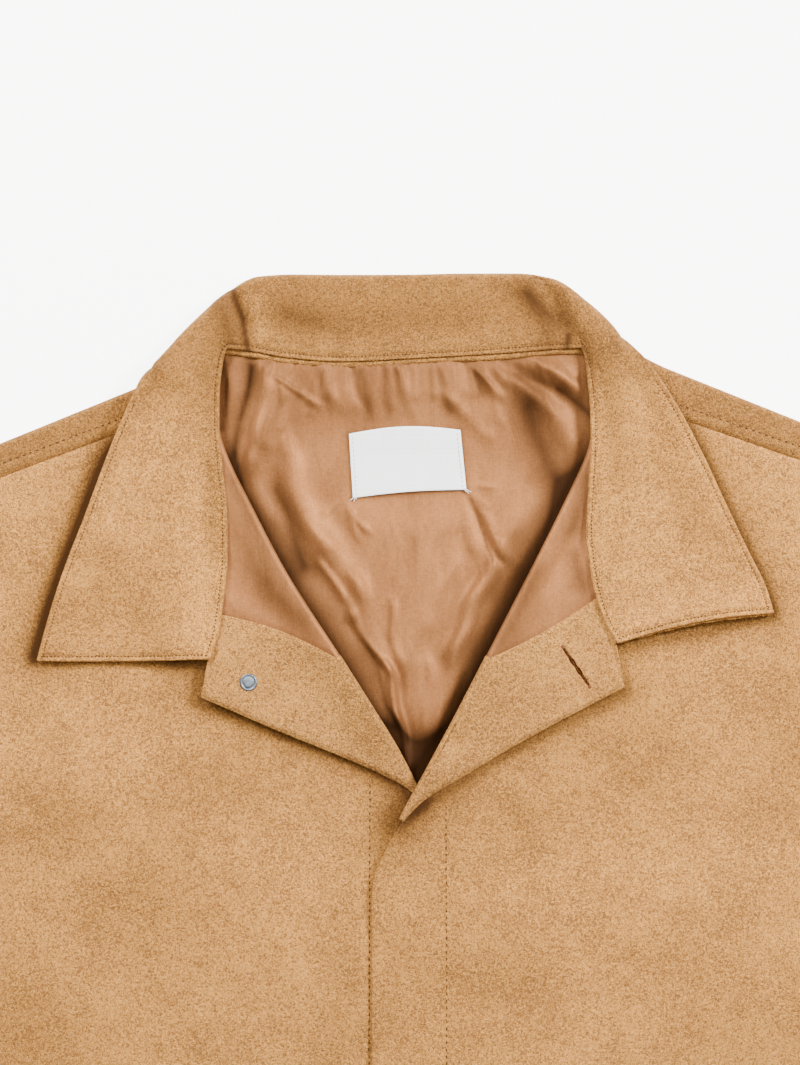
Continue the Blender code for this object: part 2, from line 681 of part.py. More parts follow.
def build_sleeve(half, finish):
    """A flattened tube from the armhole to the cuff, open at both ends."""
    angle = math.radians(SLEEVE_ANGLE)
    down_arm = (math.cos(angle), -math.sin(angle))
    across_cuff = (math.sin(angle), math.cos(angle))
    under = (table_value(SIDE, UNDERARM_Y), UNDERARM_Y)
    shoulder = (SHOULDER_X, line_y(half.shoulder, SHOULDER_X))
    lower_length = SLEEVE_LENGTH * LOWER_EDGE
    cuff_low = (under[0] + lower_length * math.cos(angle - 0.06),
                under[1] - lower_length * math.sin(angle - 0.06))
    cuff_high = (cuff_low[0] + across_cuff[0] * CUFF_WIDTH, cuff_low[1] + across_cuff[1] * CUFF_WIDTH)
    crown = (shoulder[0] + CROWN[0], shoulder[1] + CROWN[1])
    top = curve([shoulder, crown, mix(crown, cuff_high, 0.5), cuff_high])
    bottom = curve([under, mix(under, cuff_low, 0.5), cuff_low])
    inset = fold_inset()
    armhole = [(x + GAP / 2, y) for y, x in SIDE[::-1] if UNDERARM_Y < y < -58]
    armhole.insert(0, (SHOULDER_X + 1.9, shoulder[1] - inset - GAP))
    armhole.append((under[0] + 0.9, under[1] + inset + GAP))
    shares = [(y - shoulder[1]) / (under[1] - shoulder[1]) for _, y in armhole]
    rings = []
    for station in range(SLEEVE_STATIONS + 1):
        t = (station / SLEEVE_STATIONS) ** 1.1
        high = along(top, t)
        low = along(bottom, t)
        cross = unit((high[0] - low[0], high[1] - low[1]))
        flat = []
        for share, seam_point in zip(shares, armhole):
            point = mix(high, low, share)
            straight = mix(shoulder, under, share)
            pull = (1 - t) ** 2
            flat.append((point[0] + (seam_point[0] - straight[0]) * pull,
                         point[1] + (seam_point[1] - straight[1]) * pull))
        ring = [(x * half.sign, y, FRONT_Z) for x, y in flat]
        outward = (-cross[0] * half.sign, -cross[1])
        ring += half_round(ring[-1], outward, BACK_Z, FRONT_Z, 3)[::-1][1:-1]
        ring += [(x * half.sign, y, BACK_Z) for x, y in flat[::-1]]
        outward = (cross[0] * half.sign, cross[1])
        ring += half_round(ring[-1], outward, BACK_Z, FRONT_Z, 3)[1:-1]
        rings.append(ring + ring[:1])
    return sheet("sleeve_" + half.name, [rings], SUEDE, finish)


def main():
    for old in list(bpy.data.objects):
        bpy.data.objects.remove(old)
    suede = material("suede", (0.54, 0.31, 0.145), 0.9)
    satin = material("satin", (0.40, 0.20, 0.11), 0.4)
    woven = material("woven_label", (0.86, 0.85, 0.82), 0.8)
    steel = material("steel", (0.45, 0.47, 0.50), 0.35, 1.0)
    build_back(suede)
    for half in (RIGHT, LEFT):
        build_front(half, suede)
        build_covers(half, suede, satin)
        build_sleeve(half, suede)
    build_neck(satin, suede, woven)
    build_collar(suede)
    build_rivet(steel)


main()
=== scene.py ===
import math
import random
from collections import namedtuple

import bmesh
import bpy
import numpy as np
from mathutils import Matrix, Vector
from mathutils.bvhtree import BVHTree


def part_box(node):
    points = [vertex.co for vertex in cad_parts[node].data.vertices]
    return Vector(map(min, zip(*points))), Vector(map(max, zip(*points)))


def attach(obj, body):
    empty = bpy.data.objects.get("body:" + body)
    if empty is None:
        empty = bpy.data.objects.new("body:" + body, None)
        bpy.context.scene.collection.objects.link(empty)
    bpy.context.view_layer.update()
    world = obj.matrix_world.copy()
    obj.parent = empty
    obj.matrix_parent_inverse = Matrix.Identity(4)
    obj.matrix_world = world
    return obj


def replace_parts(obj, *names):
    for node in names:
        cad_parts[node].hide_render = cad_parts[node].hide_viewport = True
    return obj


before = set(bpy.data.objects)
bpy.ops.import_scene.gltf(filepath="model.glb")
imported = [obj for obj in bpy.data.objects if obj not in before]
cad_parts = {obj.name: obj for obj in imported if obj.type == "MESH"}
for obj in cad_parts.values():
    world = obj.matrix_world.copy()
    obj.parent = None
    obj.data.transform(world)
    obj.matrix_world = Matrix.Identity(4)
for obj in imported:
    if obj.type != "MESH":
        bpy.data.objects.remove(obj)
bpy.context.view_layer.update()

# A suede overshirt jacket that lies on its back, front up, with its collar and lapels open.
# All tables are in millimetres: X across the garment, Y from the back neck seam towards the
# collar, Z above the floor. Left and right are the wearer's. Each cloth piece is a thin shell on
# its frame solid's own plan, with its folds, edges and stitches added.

MM = 0.001

# Whole garment, as in the frame.
HEM_Y = -700.0
SHOULDER_X = 238.0
UNDERARM_Y = -290.0
NECK_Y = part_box("back")[0][1] / MM - HEM_Y

# Heights of the layers' middles and thicknesses of their cloth.
BACK_Z = 0.6
LINING_Z = 2.2
FRONT_Z = 5.0
LAPEL_RISE = 1.5
COVER_RISE = 2.9
LIP_DROP = 1.4
SUEDE = 1.2
FACING = 1.0
SATIN = 0.35
COLLAR = 2.0
UNDER_EDGE = 0.9
BINDING = 0.8
LABEL = 0.5
GAP = 0.3

# The roll, the lip under it, the stretch of a lapel's cover that runs under the collar, and how far
# the lapels, the back's neck and the roll stand up.
ROLL_RADIUS = (COVER_RISE + LIP_DROP) / 2
ROLL_REACH = ROLL_RADIUS + FACING / 2
LIP_WIDTH = 9.0
UNDER_COLLAR = 2.4
LAPEL_LIFT = 4.4
LIFT_REACH = 75.0
NECK_RISE = 2.5
ROLL_SPRING = 6.5

# Sizes of mesh cells: where the cloth is seen closely, and far from the collar.
FINE = 2.0
COARSE = 7.0

# From a folded side edge, seen from above, to the centre of its half round, and the width of the
# front's strip that goes on under the back.
FOLD_INSET = (FRONT_Z - BACK_Z) / 2 + SUEDE / 2
UNDER_STRIP = 3.0

# Where the shoulder lines end at the neck, and how far rows of stitches run from their seam or edge.
NECK_END_X = 92
LEAD_ROW = 6.5
HEM_ROW = 20.0
CUFF_ROW = 24.0

# Creases are soft ridges, or troughs below zero. Streaks are painted shade above zero and painted
# highlight below it. Patches are broad tones of the fronts, darker above zero and lighter below it.
Crease = namedtuple("Crease", "x0 y0 x1 y1 height width")
Streak = namedtuple("Streak", "x0 y0 x1 y1 depth width")
Patch = namedtuple("Patch", "x y wide high depth")
Station = namedtuple("Station", "seam_x seam_y seam_z reach_x reach_y bend strip fall rise")
Half = namedtuple("Half", "name sign shoulder forward_seam roll neck_edge neck_seam corner front_edge "
                          "seam_end seam_bow hem_edge placket break_spring roll_shade edge_shade "
                          "folds streaks")


def named(kind, table):
    """Rows of plain numbers with names for their columns."""
    return [kind(*row) for row in table]


NECK_SEAM = [(-88, 5.2), (-73, 3.4), (-55, 0.2), (-32, -1.3), (0, 0.0), (47, 2.7), (68, 4.4),
             (86, 5.4)]
SIDE = [(HEM_Y, 272), (-600, 272), (-450, 275), (UNDERARM_Y, 281), (-220, 262), (-150, 249),
        (-100, 242), (-58, SHOULDER_X)]

# Everything that differs between the two halves. x runs outwards on both. The folds are those of
# the satin on the turned lapel, and the shade streaks are its painted shade and painted highlights.
# roll_shade is the painted shade on the back's lining beside the roll, and edge_shade the painted
# shadow on the front under the lapel's front edge.
RIGHT = Half(
    name="right", sign=-1,
    shoulder=((NECK_END_X, 1.6), (SHOULDER_X, -57.7)),
    forward_seam=((93, -18.6), (SHOULDER_X, -73.2)),
    roll=[(91.0, -33), (89.2, -41), (84.9, -52), (77.5, -67), (57.5, -105), (32.5, -144), (18, -167),
          (5, -188), (-4.5, -206), (-8.5, -214)],
    neck_edge=[(97.5, -30), (94.4, -43), (90.6, -56), (88, -72), (87.2, -89), (89.4, -119),
               (91.6, -134), (94, -144)],
    neck_seam=(90, -126), corner=(99.7, -166),
    front_edge=[(99.7, -166), (61, -182.8), (18.6, -200.4), (-0.8, -210.5), (-6.5, -217)],
    seam_end=0.618, seam_bow=3.0,
    hem_edge=[(-12, -222), (-21, -250)],
    placket=[(17.2, -208), (17.6, -300), (19, HEM_Y + 8)],
    break_spring=0.1, roll_shade=0.78, edge_shade=0.46,
    folds=named(Crease, [(90, -66, 60, -116, 0.9, 7.0), (88, -100, 50, -136, -0.7, 8.0),
                         (86, -118, 80, -124, 0.4, 3.0)]),
    streaks=named(Streak, [(84, -60, 66, -112, 0.26, 9.0), (74, -104, 50, -128, 0.24, 6.0),
                           (90, -70, 90, -100, 0.16, 3.4), (70, -84, 48, -122, 0.14, 3.0),
                           (86, -112, 46, -140, -0.12, 6.0), (80, -74, 62, -106, -0.10, 3.0)]),
)
LEFT = Half(
    name="left", sign=1,
    shoulder=((NECK_END_X, 9.7), (SHOULDER_X, -48.7)),
    forward_seam=((93, -14.9), (SHOULDER_X, -65.2)),
    roll=[(91.2, -35), (89.6, -43.5), (85.6, -54), (72.5, -81), (53.2, -118.6), (35, -154), (20, -182.8),
          (6, -208.5), (0.5, -218.5), (-2.8, -225)],
    neck_edge=[(97.7, -30), (95.0, -44), (91.6, -57), (89.4, -81), (89.4, -90), (93.8, -117),
               (97.5, -129), (101.3, -139)],
    neck_seam=(90, -118), corner=(107, -161),
    front_edge=[(107, -161), (67.6, -181.8), (28.8, -204.2), (11.3, -214.5), (3.4, -221.5), (-1.6, -227)],
    seam_end=0.578, seam_bow=-2.0,
    hem_edge=[(-7, -237), (-16, -262)],
    placket=[(20.0, -218), (20.4, -300), (20, HEM_Y + 8)],
    break_spring=0.72, roll_shade=0.92, edge_shade=0.40,
    folds=named(Crease, [(88, -58, 62, -104, 1.0, 7.0), (90, -84, 66, -112, -0.9, 6.0),
                         (90, -98, 58, -128, 0.7, 7.0), (88, -116, 80, -120, 0.4, 3.0)]),
    streaks=named(Streak, [(88, -58, 82, -84, 0.40, 6.0), (84, -96, 88, -114, 0.36, 4.5),
                           (66, -104, 46, -140, 0.26, 5.0), (88, -84, 66, -112, -0.20, 4.0),
                           (80, -66, 66, -92, -0.10, 3.4), (90, -108, 82, -112, 0.24, 1.6)]),
)

# Cross-sections of the collar, from the right leaf's front end round the back to the left one's.
COLLAR_STATIONS = named(Station, [
    (-96.0, -147, 7.2, -179.8, -148.0, 0, 6.0, 3.0, 0.4),
    (-91.8, -134, 7.2, -173.5, -126.0, 0, 6.0, 3.0, 0.8),
    (-89.4, -117, 7.2, -165.5, -102.0, 0, 6.0, 3.0, 1.2),
    (-87.6, -97, 7.2, -156.0, -77.4, 0, 6.0, 3.0, 1.4),
    (-87.8, -76, 7.2, -147.5, -54.5, 0, 6.0, 3.0, 1.6),
    (-90.0, -54, 7.2, -138.7, -32.3, 0, 6.0, 3.0, 1.8),
    (-91.6, -36, 7.2, -132.0, -17.0, 5, 6.0, 3.0, 2.0),
    (-91.6, -26, 7.2, -129.0, -10.0, 25, 6.0, 3.0, 2.1),
    (-91.4, -16, 7.2, -124.0, -4.0, 100, 9.0, 2.0, 2.2),
    (-90.4, -6, 7.4, -114.5, 7.0, 180, 15.0, 5.0, 2.0),
    (-89.0, 2, 7.0, -101.5, 20.5, 180, 16.0, 12.0, 1.4),
    (-86.6, 5.2, 6.0, -84.5, 34.5, 180, 12.0, 24.0, 0.8),
    (-76.0, 3.9, 5.2, -71.5, 40.5, 180, 8.0, 30.0, 0.3),
    (-58.0, 0.7, 4.9, -55.0, 41.5, 180, 6.0, 42.0, 0.0),
    (-32.0, -1.3, 4.9, -31.0, 41.3, 180, 6.0, 44.0, 0.0),
    (0.0, 0.0, 4.9, 0.0, 41.4, 180, 6.0, 44.0, 0.0),
    (32.0, 1.8, 4.9, 31.0, 42.0, 180, 6.0, 42.0, 0.0),
    (58.0, 3.6, 4.9, 55.0, 42.0, 180, 6.0, 38.0, 0.0),
    (76.0, 4.9, 5.2, 72.0, 39.5, 180, 8.0, 25.0, 0.3),
    (86.0, 5.4, 6.2, 88.7, 28.5, 180, 12.0, 8.0, 0.8),
    (88.6, 1, 7.4, 103.0, 15.0, 130, 11.0, 2.0, 1.4),
    (89.8, -10, 7.2, 115.0, 2.0, 15, 6.0, 3.0, 2.0),
    (91.2, -24, 7.2, 124.0, -10.0, 0, 6.0, 3.0, 2.0),
    (91.6, -42, 7.2, 134.5, -27.0, 0, 6.0, 3.0, 1.8),
    (90.4, -64, 7.2, 146.3, -49.8, 0, 6.0, 3.0, 1.6),
    (89.4, -85, 7.2, 156.5, -72.0, 0, 6.0, 3.0, 1.4),
    (92.0, -108, 7.2, 167.5, -95.0, 0, 6.0, 3.0, 1.4),
    (97.0, -126, 7.2, 175.5, -111.0, 0, 6.0, 3.0, 2.0),
    (103.9, -139.2, 7.2, 179.8, -124.5, 0, 6.0, 3.0, 3.0),
])
STAND_CELLS = 5
STRIP_CELLS = 4
FALL_CELLS = 2

# The open stretch of the back's lining: each row's y, and its ends under the two fronts.
LINING_ROWS = [(-18, -103, 103), (-50, -111, 111), (-100, -98, 98), (-150, -75, 75), (-200, -47, 48),
               (-238, -26, 28)]
BINDING_WIDTH = 4.6

# The label's corners, from its top right one round by its top left.
LABEL_CORNERS = [(-27.4, -37.2), (27.0, -35.3), (29.9, -64.4), (-25.5, -68.4)]
LABEL_BOW = 2.6

# The rivet's turned outline has distances from its axis and heights over its seat in the cloth.
RIVET_AT = (-76.6, -158.8)
RIVET_PROFILE = [(0.0, 0.78), (1.2, 0.80), (2.4, 0.78), (2.75, 0.66), (2.95, 0.60), (3.1, 0.72), (3.35, 0.92),
                 (3.7, 1.0), (4.0, 0.92), (4.2, 0.7), (4.3, 0.4), (4.3, 0.0), (0.0, 0.0)]
RIVET_SEAT = 0.25
BUTTONHOLE = [(77.4, -142.0), (90.0, -160.4)]
BUTTONHOLE_PITCH = 0.5

LINING_FOLDS = named(Crease, [
    (-74, -2, -81, -32, -1.6, 4.0), (-81, -32, -82, -60, -1.0, 4.4), (-66, -5, -73, -34, 1.5, 3.8),
    (-73, -34, -77, -50, 1.2, 4.0), (-77, -50, -70, -74, 0.9, 4.6), (-86, 0, -88, -24, 1.2, 2.6),
    (-61, -14, -68, -40, 0.9, 2.2), (-60, -9, -46, -22, 0.7, 1.5), (-50, -14, -49, -42, -0.6, 6.0),
    (-57, -46, -43, -89, 1.5, 6.0), (-43, -89, -24, -112, 1.4, 5.2), (-24, -112, -12, -142, 1.1, 4.4),
    (-64, -62, -46, -104, -1.0, 6.0), (-34, -76, -27, -100, -0.6, 5.0), (-28, -71, -20, -84, 0.8, 1.7),
    (-27, -70, -37, -77, 0.6, 1.4), (-25, -69, -25, -88, 0.5, 1.3), (31, -67, 44, -99, -0.9, 1.8),
    (34, -66, 48, -97, 0.7, 2.6), (29, -68, 33, -92, 0.6, 2.4), (31, -64, 40, -72, 0.6, 1.5),
    (32, -62, 44, -64, 0.4, 1.4), (66, -1, 90, -16, 1.5, 3.4), (56, -7, 90, -27, -1.3, 4.4),
    (60, -18, 86, -46, 0.9, 4.6), (52, -28, 70, -60, -0.7, 8.0), (60, -58, 50, -86, 0.8, 8.0),
    (50, -88, 38, -112, 1.1, 6.0), (40, -104, 27, -138, 1.3, 5.0), (28, -138, 14, -178, 1.1, 4.6),
    (30, -112, 20, -146, -0.8, 4.0), (21, -101, 13, -128, 0.7, 3.6), (-41, -103, -25, -128, 1.1, 2.0),
    (-25, -128, -9, -153, 1.3, 2.0), (-9, -153, -5, -176, 1.2, 2.0), (-5, -176, 4, -198, 1.0, 1.8),
    (-28, -124, -12, -152, -0.8, 2.2), (-4, -156, 1, -186, -0.8, 2.6), (-6, -122, -2, -146, 0.7, 2.2),
    (-5, -66, -4, -136, 0.25, 1.4), (6, -90, 4, -146, 0.6, 5.0), (12, -150, 8, -180, 0.6, 2.6),
    (33, -6, 35, -18, -1.0, 4.4), (38, -8, 44, -18, 0.9, 1.8), (22, -20, 36, -36, 1.0, 2.8),
    (-26, -6, -20, -32, -0.8, 2.6), (-2, -6, 4, -30, 0.7, 2.8), (-38, -4, -36, -20, 0.7, 2.2),
    (-14, -96, -20, -128, -0.5, 4.0),
])
FRONT_WAVES = named(Crease, [
    (-196, -90, -150, -210, 1.3, 26), (-230, -160, -196, -300, 1.5, 24),
    (-120, -178, -96, -290, 1.1, 24), (-64, -206, -58, -330, 1.1, 18), (-34, -214, -30, -330, 0.8, 10),
    (-170, -160, -140, -176, -0.9, 16), (70, -200, 62, -330, 1.3, 22), (120, -150, 150, -280, 1.3, 26),
    (196, -80, 204, -230, 1.5, 26), (186, -240, 150, -360, 1.2, 28), (28, -224, 26, -330, 0.7, 10),
    (110, -190, 96, -240, -0.8, 14), (-160, -340, -110, -520, 1.4, 30), (-60, -380, -70, -600, 1.2, 26),
    (60, -360, 84, -560, 1.3, 28), (170, -400, 150, -620, 1.4, 32), (-226, -380, -200, -600, 1.3, 28),
    (232, -320, 224, -520, 1.2, 24),
])


# ---- Lines, tables and grids ----

def smooth(start, end, value):
    """Rise from 0 at start to 1 at end with level ends, for numbers and arrays."""
    share = np.clip((value - start) / (end - start), 0.0, 1.0)
    return share * share * (3 - 2 * share)


def mix(a, b, share):
    return tuple(p + (q - p) * share for p, q in zip(a, b))


def unit(vector):
    length = math.hypot(*vector)
    return tuple(part / length for part in vector)


def line_y(line, x):
    """Height of a straight line given by two points, at x."""
    (x0, y0), (x1, y1) = line
    return y0 + (y1 - y0) * (x - x0) / (x1 - x0)


def table_value(table, key):
    """Read a two-column table at key by straight lines between its rows."""
    rows = sorted(table)
    return float(np.interp(key, [row[0] for row in rows], [row[1] for row in rows]))


def curve(points, samples=16):
    """A smooth line through the points, as a dense list."""
    padded = [points[0]] + list(points) + [points[-1]]
    line = []
    for a, b, c, d in zip(padded, padded[1:], padded[2:], padded[3:]):
        for step in range(samples):
            t = step / samples
            line.append(tuple(
                0.5 * (2 * q + (r - p) * t + (2 * p - 5 * q + 4 * r - s) * t * t
                       + (3 * q - p - 3 * r + s) * t * t * t)
                for p, q, r, s in zip(a, b, c, d)))
    line.append(tuple(points[-1]))
    return line


def reaches(points):
    """How far along a line each of its points is."""
    return np.concatenate(([0.0], np.cumsum(np.linalg.norm(np.diff(points, axis=0), axis=1))))


def evenly(line, start, end, count):
    """Points evenly spaced between two shares of a line's length."""
    points = np.array(line, float)
    reach = reaches(points)
    at = np.linspace(start, end, count) * reach[-1]
    return np.stack([np.interp(at, reach, points[:, axis]) for axis in range(points.shape[1])], axis=1)


def share_at(line, point):
    """The share of the line's length at the place nearest the point."""
    spots = evenly(line, 0.0, 1.0, 801)
    return int(np.argmin(np.linalg.norm(spots - np.array(point), axis=1))) / 800


def distance(x, y, line):
    """How far each place is from a line, seen from above."""
    points = np.stack([np.ravel(x), np.ravel(y)], axis=1)
    line = np.array(line, float)[:, :2]
    nearest = np.full(len(points), 1e9)
    for a, b in zip(line, line[1:]):
        run = b - a
        share = np.clip((points - a) @ run / max(run @ run, 1e-9), 0.0, 1.0)
        nearest = np.minimum(nearest, np.linalg.norm(points - a - share[:, None] * run, axis=1))
    return nearest.reshape(np.shape(x))


def away_from(points, line):
    """How far each point of a grid is from a line, seen from above."""
    return distance(points[..., 0], points[..., 1], line)


def mirrored(half, line):
    """A line of one half, whose x runs outwards, at its place on the garment."""
    return [(half.sign * x, y) for x, y in line]


def eased(values, knots, at):
    """A smooth run of rows of values over the knots, with no overshoot between them."""
    gap = np.diff(knots)
    wide = gap.reshape(-1, *[1] * (values.ndim - 1))
    slope = np.diff(values, axis=0) / wide
    tangent = np.concatenate((slope[:1], np.zeros_like(slope[1:]), slope[-1:]))
    before, after = slope[:-1], slope[1:]
    same = before * after > 0
    tangent[1:-1] = np.where(same, 2 * before * after / np.where(same, before + after, 1.0), 0.0)
    index = np.clip(np.searchsorted(knots, at, side="right") - 1, 0, len(gap) - 1)
    t = ((at - knots[index]) / gap[index]).reshape(-1, *[1] * (values.ndim - 1))
    width = wide[index]
    return ((2 * t ** 3 - 3 * t ** 2 + 1) * values[index] + (t ** 3 - 2 * t ** 2 + t) * width * tangent[index]
            + (3 * t ** 2 - 2 * t ** 3) * values[index + 1] + (t ** 3 - t ** 2) * width * tangent[index + 1])


def knots_of(grid):
    steps = np.linalg.norm(np.diff(grid, axis=0), axis=2).mean(axis=1)
    return np.concatenate(([0.0], np.cumsum(np.maximum(steps, 0.05))))


def samples_of(knots, cells, least=1):
    """Places along the knots no further apart than each stretch's cell size."""
    cells = np.broadcast_to(cells, len(knots) - 1)
    places = [knots[:1]]
    for low, high, cell in zip(knots, knots[1:], cells):
        count = max(least, math.ceil((high - low) / cell))
        places.append(np.linspace(low, high, count + 1)[1:])
    return np.concatenate(places)


def refine(grid, row_cell, column_cell, least=1):
    """A fine smooth grid through the points of a coarse one."""
    grid = np.array(grid, float)
    knots = knots_of(grid)
    grid = eased(grid, knots, samples_of(knots, row_cell))
    turned = np.swapaxes(grid, 0, 1)
    knots = knots_of(turned)
    return np.swapaxes(eased(turned, knots, samples_of(knots, column_cell, least)), 0, 1)


def filled(top, bottom, left, right):
    """A grid between four lines of points that share their corners."""
    rows, columns = len(left), len(top)
    v = np.linspace(0, 1, rows)[:, None, None]
    u = np.linspace(0, 1, columns)[None, :, None]
    ruled = (1 - v) * top[None] + v * bottom[None] + (1 - u) * left[:, None] + u * right[:, None]
    corners = ((1 - u) * (1 - v) * top[0] + u * (1 - v) * top[-1]
               + (1 - u) * v * bottom[0] + u * v * bottom[-1])
    return ruled - corners


# ---- Cloth shells ----

def creased(x, y, table, wander=1.6):
    """Total height of a table of creases, whose lines wander a little."""
    x = x + wander * np.sin(y / 11.0 + 1.3) + 0.6 * wander * np.sin(y / 4.7 + x / 19.0)
    y = y + wander * np.sin(x / 13.0 + 0.4)
    total = np.zeros(np.shape(x))
    for fold in table:
        run = np.array([fold.x1 - fold.x0, fold.y1 - fold.y0])
        length = math.hypot(*run)
        along = ((x - fold.x0) * run[0] + (y - fold.y0) * run[1]) / length ** 2
        side = ((x - fold.x0) * run[1] - (y - fold.y0) * run[0]) / length
        past = (np.clip(along, 0.0, 1.0) - along) * length
        spread = fold.width * (0.8 + 0.4 * np.clip(along, 0.0, 1.0))
        total += fold.height * np.exp(-(side ** 2) / spread ** 2 - (past / (2.2 * fold.width)) ** 2)
    return total


def settled(points):
    """Everything above the back follows the same soft waves of the fronts."""
    points = np.array(points, float)
    x, y, z = points[..., 0], points[..., 1], points[..., 2]
    wave = 1.6 * creased(x, y, FRONT_WAVES, 5.0) * smooth(2.4, 4.6, z) * smooth(-20, -70, y)
    points[..., 2] = z + wave
    return points


def shell(name, grids, thickness, material, rim_steps=4):
    """A closed thin cloth with a round rim, around grids of middle points that meet."""
    points = np.concatenate([np.reshape(grid, (-1, 3)) for grid in grids])
    keys = np.round(points * 100).astype(np.int64)
    _, first, place = np.unique(keys, axis=0, return_index=True, return_inverse=True)
    place = place.ravel()
    points = points[first]
    faces = []
    start = 0
    for grid in grids:
        rows, columns = np.shape(grid)[:2]
        index = place[start:start + rows * columns].reshape(rows, columns)
        start += rows * columns
        quads = np.stack([index[:-1, :-1], index[:-1, 1:], index[1:, 1:], index[1:, :-1]], axis=-1)
        faces += [tuple(dict.fromkeys(quad)) for quad in quads.reshape(-1, 4).tolist()]
    faces = [face for face in faces if len(face) > 2]
    flat = bpy.data.meshes.new(name + "_middle")
    flat.from_pydata(points.tolist(), [], faces)
    work = bmesh.new()
    work.from_mesh(flat)
    bmesh.ops.recalc_face_normals(work, faces=work.faces[:])
    work.normal_update()
    normals = np.array([v.normal[:] for v in work.verts])
    faces = [[v.index for v in face.verts] for face in work.faces]
    rim = [(loop.vert.index, loop.link_loop_next.vert.index)
           for edge in work.edges if edge.is_boundary for loop in edge.link_loops]
    work.free()
    bpy.data.meshes.remove(flat)

    outward = np.zeros_like(points)
    for a, b in rim:
        side = np.cross(points[b] - points[a], normals[a])
        outward[a] += side
        outward[b] += side
    outward /= np.maximum(np.linalg.norm(outward, axis=1, keepdims=True), 1e-9)
    count = len(points)
    half = thickness / 2
    every = [points + normals * half, points - normals * half]
    rim_points = sorted({point for edge in rim for point in edge})
    number = {point: order for order, point in enumerate(rim_points)}
    for step in range(1, rim_steps):
        angle = math.pi * (0.5 - step / rim_steps)
        every.append(points[rim_points] + normals[rim_points] * half * math.sin(angle)
                     + outward[rim_points] * half * 0.7 * math.cos(angle))
    solid = list(faces) + [[corner + count for corner in reversed(face)] for face in faces]

    def rim_vertex(point, step):
        if step == 0:
            return point
        if step == rim_steps:
            return point + count
        return 2 * count + (step - 1) * len(rim_points) + number[point]

    for a, b in rim:
        for step in range(rim_steps):
            solid.append([rim_vertex(b, step), rim_vertex(a, step),
                          rim_vertex(a, step + 1), rim_vertex(b, step + 1)])
    return piece(name, np.concatenate(every), solid, material)


def added(name, data):
    made = bpy.data.objects.new(name, data)
    bpy.context.scene.collection.objects.link(made)
    return made


def piece(name, points, faces, material):
    """A mesh object from points in millimetres, riding on the garment."""
    world = (np.array(points) + [0.0, NECK_Y, 0.0]) * MM
    mesh = bpy.data.meshes.new(name)
    mesh.from_pydata(world.tolist(), [], faces)
    mesh.validate()
    mesh.shade_smooth()
    mesh.materials.append(material)
    made = added(name, mesh)
    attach(made, "root")
    return made


# ---- Body ----

def neck_rise(x, y):
    """How far the back's neck rises over the collar's fall."""
    across = 1 - np.clip((np.abs(x) - 72) / 20, 0, 1)
    return NECK_RISE * across * smooth(-46, -4, y)


def lap_rise(half, x, y):
    """The left front rises where it laps over the right one. x runs outwards."""
    if half.name == "right":
        return np.zeros(np.shape(x))
    over = smooth(-185, -203, y) * (1 - smooth(26, 62, x))
    extra = (FACING + GAP) * (1 - smooth(-238, -290, y))
    return over * (SUEDE + GAP + extra)


def spring(half, x, y):
    """The rolled edge stands up a little all along its fold, less at the neck and at the break."""
    away = distance(x, y, curve(half.roll, 3))
    from_neck = distance(x, y, half.neck_edge)
    along = half.break_spring + (1 - half.break_spring) * smooth(-211, -172, y)
    return ROLL_SPRING * np.exp(-(away / 15.0) ** 2) * smooth(2, 30, from_neck) * along


def front_rise(half, x, y):
    return lap_rise(half, x, y) + spring(half, x, y)


def half_round(centre, direction, low_z, high_z, steps):
    """Points of a half circle from the low layer round to the high one, bulging in the direction."""
    radius = (high_z - low_z) / 2
    angles = np.linspace(0, math.pi, steps + 1)
    return [(centre[0] + direction[0] * radius * math.sin(a), centre[1] + direction[1] * radius * math.sin(a),
             low_z + radius * (1 - math.cos(a))) for a in angles]


def armhole_line(half):
    return mirrored(half, [(x, y) for y, x in SIDE if y >= UNDERARM_Y])


def seam_line(half):
    return mirrored(half, half.forward_seam)


def lead_line(half, end=SHOULDER_X):
    """The row of stitches on the back's side of a forward seam."""
    return mirrored(half, [(x, line_y(half.forward_seam, x) + LEAD_ROW) for x in (NECK_END_X, end)])


def sunk(points, line, depth, width):
    """Cloth drawn down along a seam or a row of stitches, but for the layer on the floor."""
    dent = depth * np.exp(-(away_from(points, line) / width) ** 2)
    points[..., 2] -= dent * smooth(2.4, 4.0, points[..., 2])
    return points


